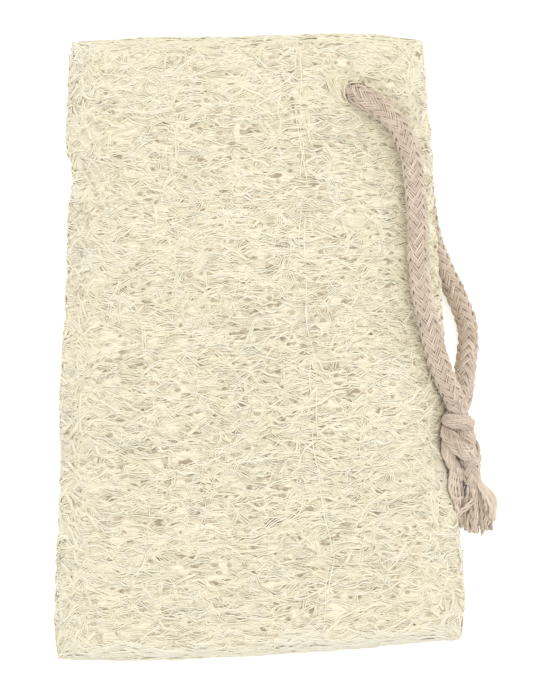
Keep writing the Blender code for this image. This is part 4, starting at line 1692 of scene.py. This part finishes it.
@dataclass
class Studio:
    """Camera straight above, soft lights and the plain pale surface.

    Attributes:
        frame_px: width and height of the picture.
        scale: metres that one picture point covers at the pad's middle height.
        middle_px: picture point of the pad's middle.
        distance: height of the camera over the pad's middle height.
        middle_height: the pad's middle height.
        sensor: height of the camera's sensor, in mm.
        key: the brighter lamp.
        fill: the weaker lamp on the other side.
        surround: strength of the even light from all round.
        floor: the floor's finish.
        floor_half: half of the floor's side.
    """

    frame_px: tuple[int, int] = (544, 700)
    scale: float = 0.24 * MM
    middle_px: tuple[float, float] = (259.5, 347.0)
    distance: float = 2.0
    middle_height: float = 9.5 * MM
    sensor: float = 36.0
    key: Lamp = Lamp("key", (0.22, 0.26, 0.90), 0.70, 3.6, (1.0, 0.985, 0.96))
    fill: Lamp = Lamp("fill", (-0.5, -0.2, 0.9), 0.9, 1.5, (0.97, 0.985, 1.0))
    surround: float = 0.985
    floor: FloorFinish = field(default_factory=FloorFinish)
    floor_half: float = 1.5

    def camera(self) -> None:
        """Put the camera straight above the picture's middle."""
        data = bpy.data.cameras.new("camera")
        data.sensor_fit = "VERTICAL"
        data.sensor_height = self.sensor
        data.lens = self.sensor * self.distance / (self.frame_px[1] * self.scale)
        data.clip_end = 10.0
        camera = bpy.data.objects.new("camera", data)
        middle_x = (self.frame_px[0] / 2 - self.middle_px[0]) * self.scale
        middle_y = (self.middle_px[1] - self.frame_px[1] / 2) * self.scale
        camera.location = (middle_x, middle_y, self.distance + self.middle_height)
        bpy.context.scene.collection.objects.link(camera)
        bpy.context.scene.camera = camera

    def build(self) -> None:
        """Make the camera, the lamps, the even surround light and the floor."""
        self.camera()
        self.key.build()
        self.fill.build()
        world = bpy.data.worlds.new("surround")
        world.use_nodes = True
        background = world.node_tree.nodes["Background"]
        background.inputs["Color"].default_value = (1.0, 1.0, 1.0, 1.0)
        background.inputs["Strength"].default_value = self.surround
        bpy.context.scene.world = world
        bpy.context.scene.view_settings.view_transform = "Standard"
        mesh = bpy.data.meshes.new("floor")
        half = self.floor_half
        corners = [(-half, -half, 0), (half, -half, 0), (half, half, 0), (-half, half, 0)]
        mesh.from_pydata(corners, [], [(0, 1, 2, 3)])
        mesh.materials.append(self.floor.material("floor"))
        floor = bpy.data.objects.new("floor", mesh)
        bpy.context.scene.collection.objects.link(floor)


def main() -> None:
    """Build the studio, the cord and the net in order."""
    logging.basicConfig(level=logging.INFO, format="%(message)s")
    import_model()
    Studio().build()
    way, shape = CordWay(), PadShape()
    CordWork(way, CottonFinish()).build()
    NetInside(shape, CoreFinish(), way).build()
    pores = PoreField(shape)
    pores.build(PoreShadeFinish().material("pore_painted_shade"))
    net = FibreNet(shape, FibreFinish(), way, pores)
    net.build()
    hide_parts("loofah_pad")


if __name__ == "__main__":
    main()
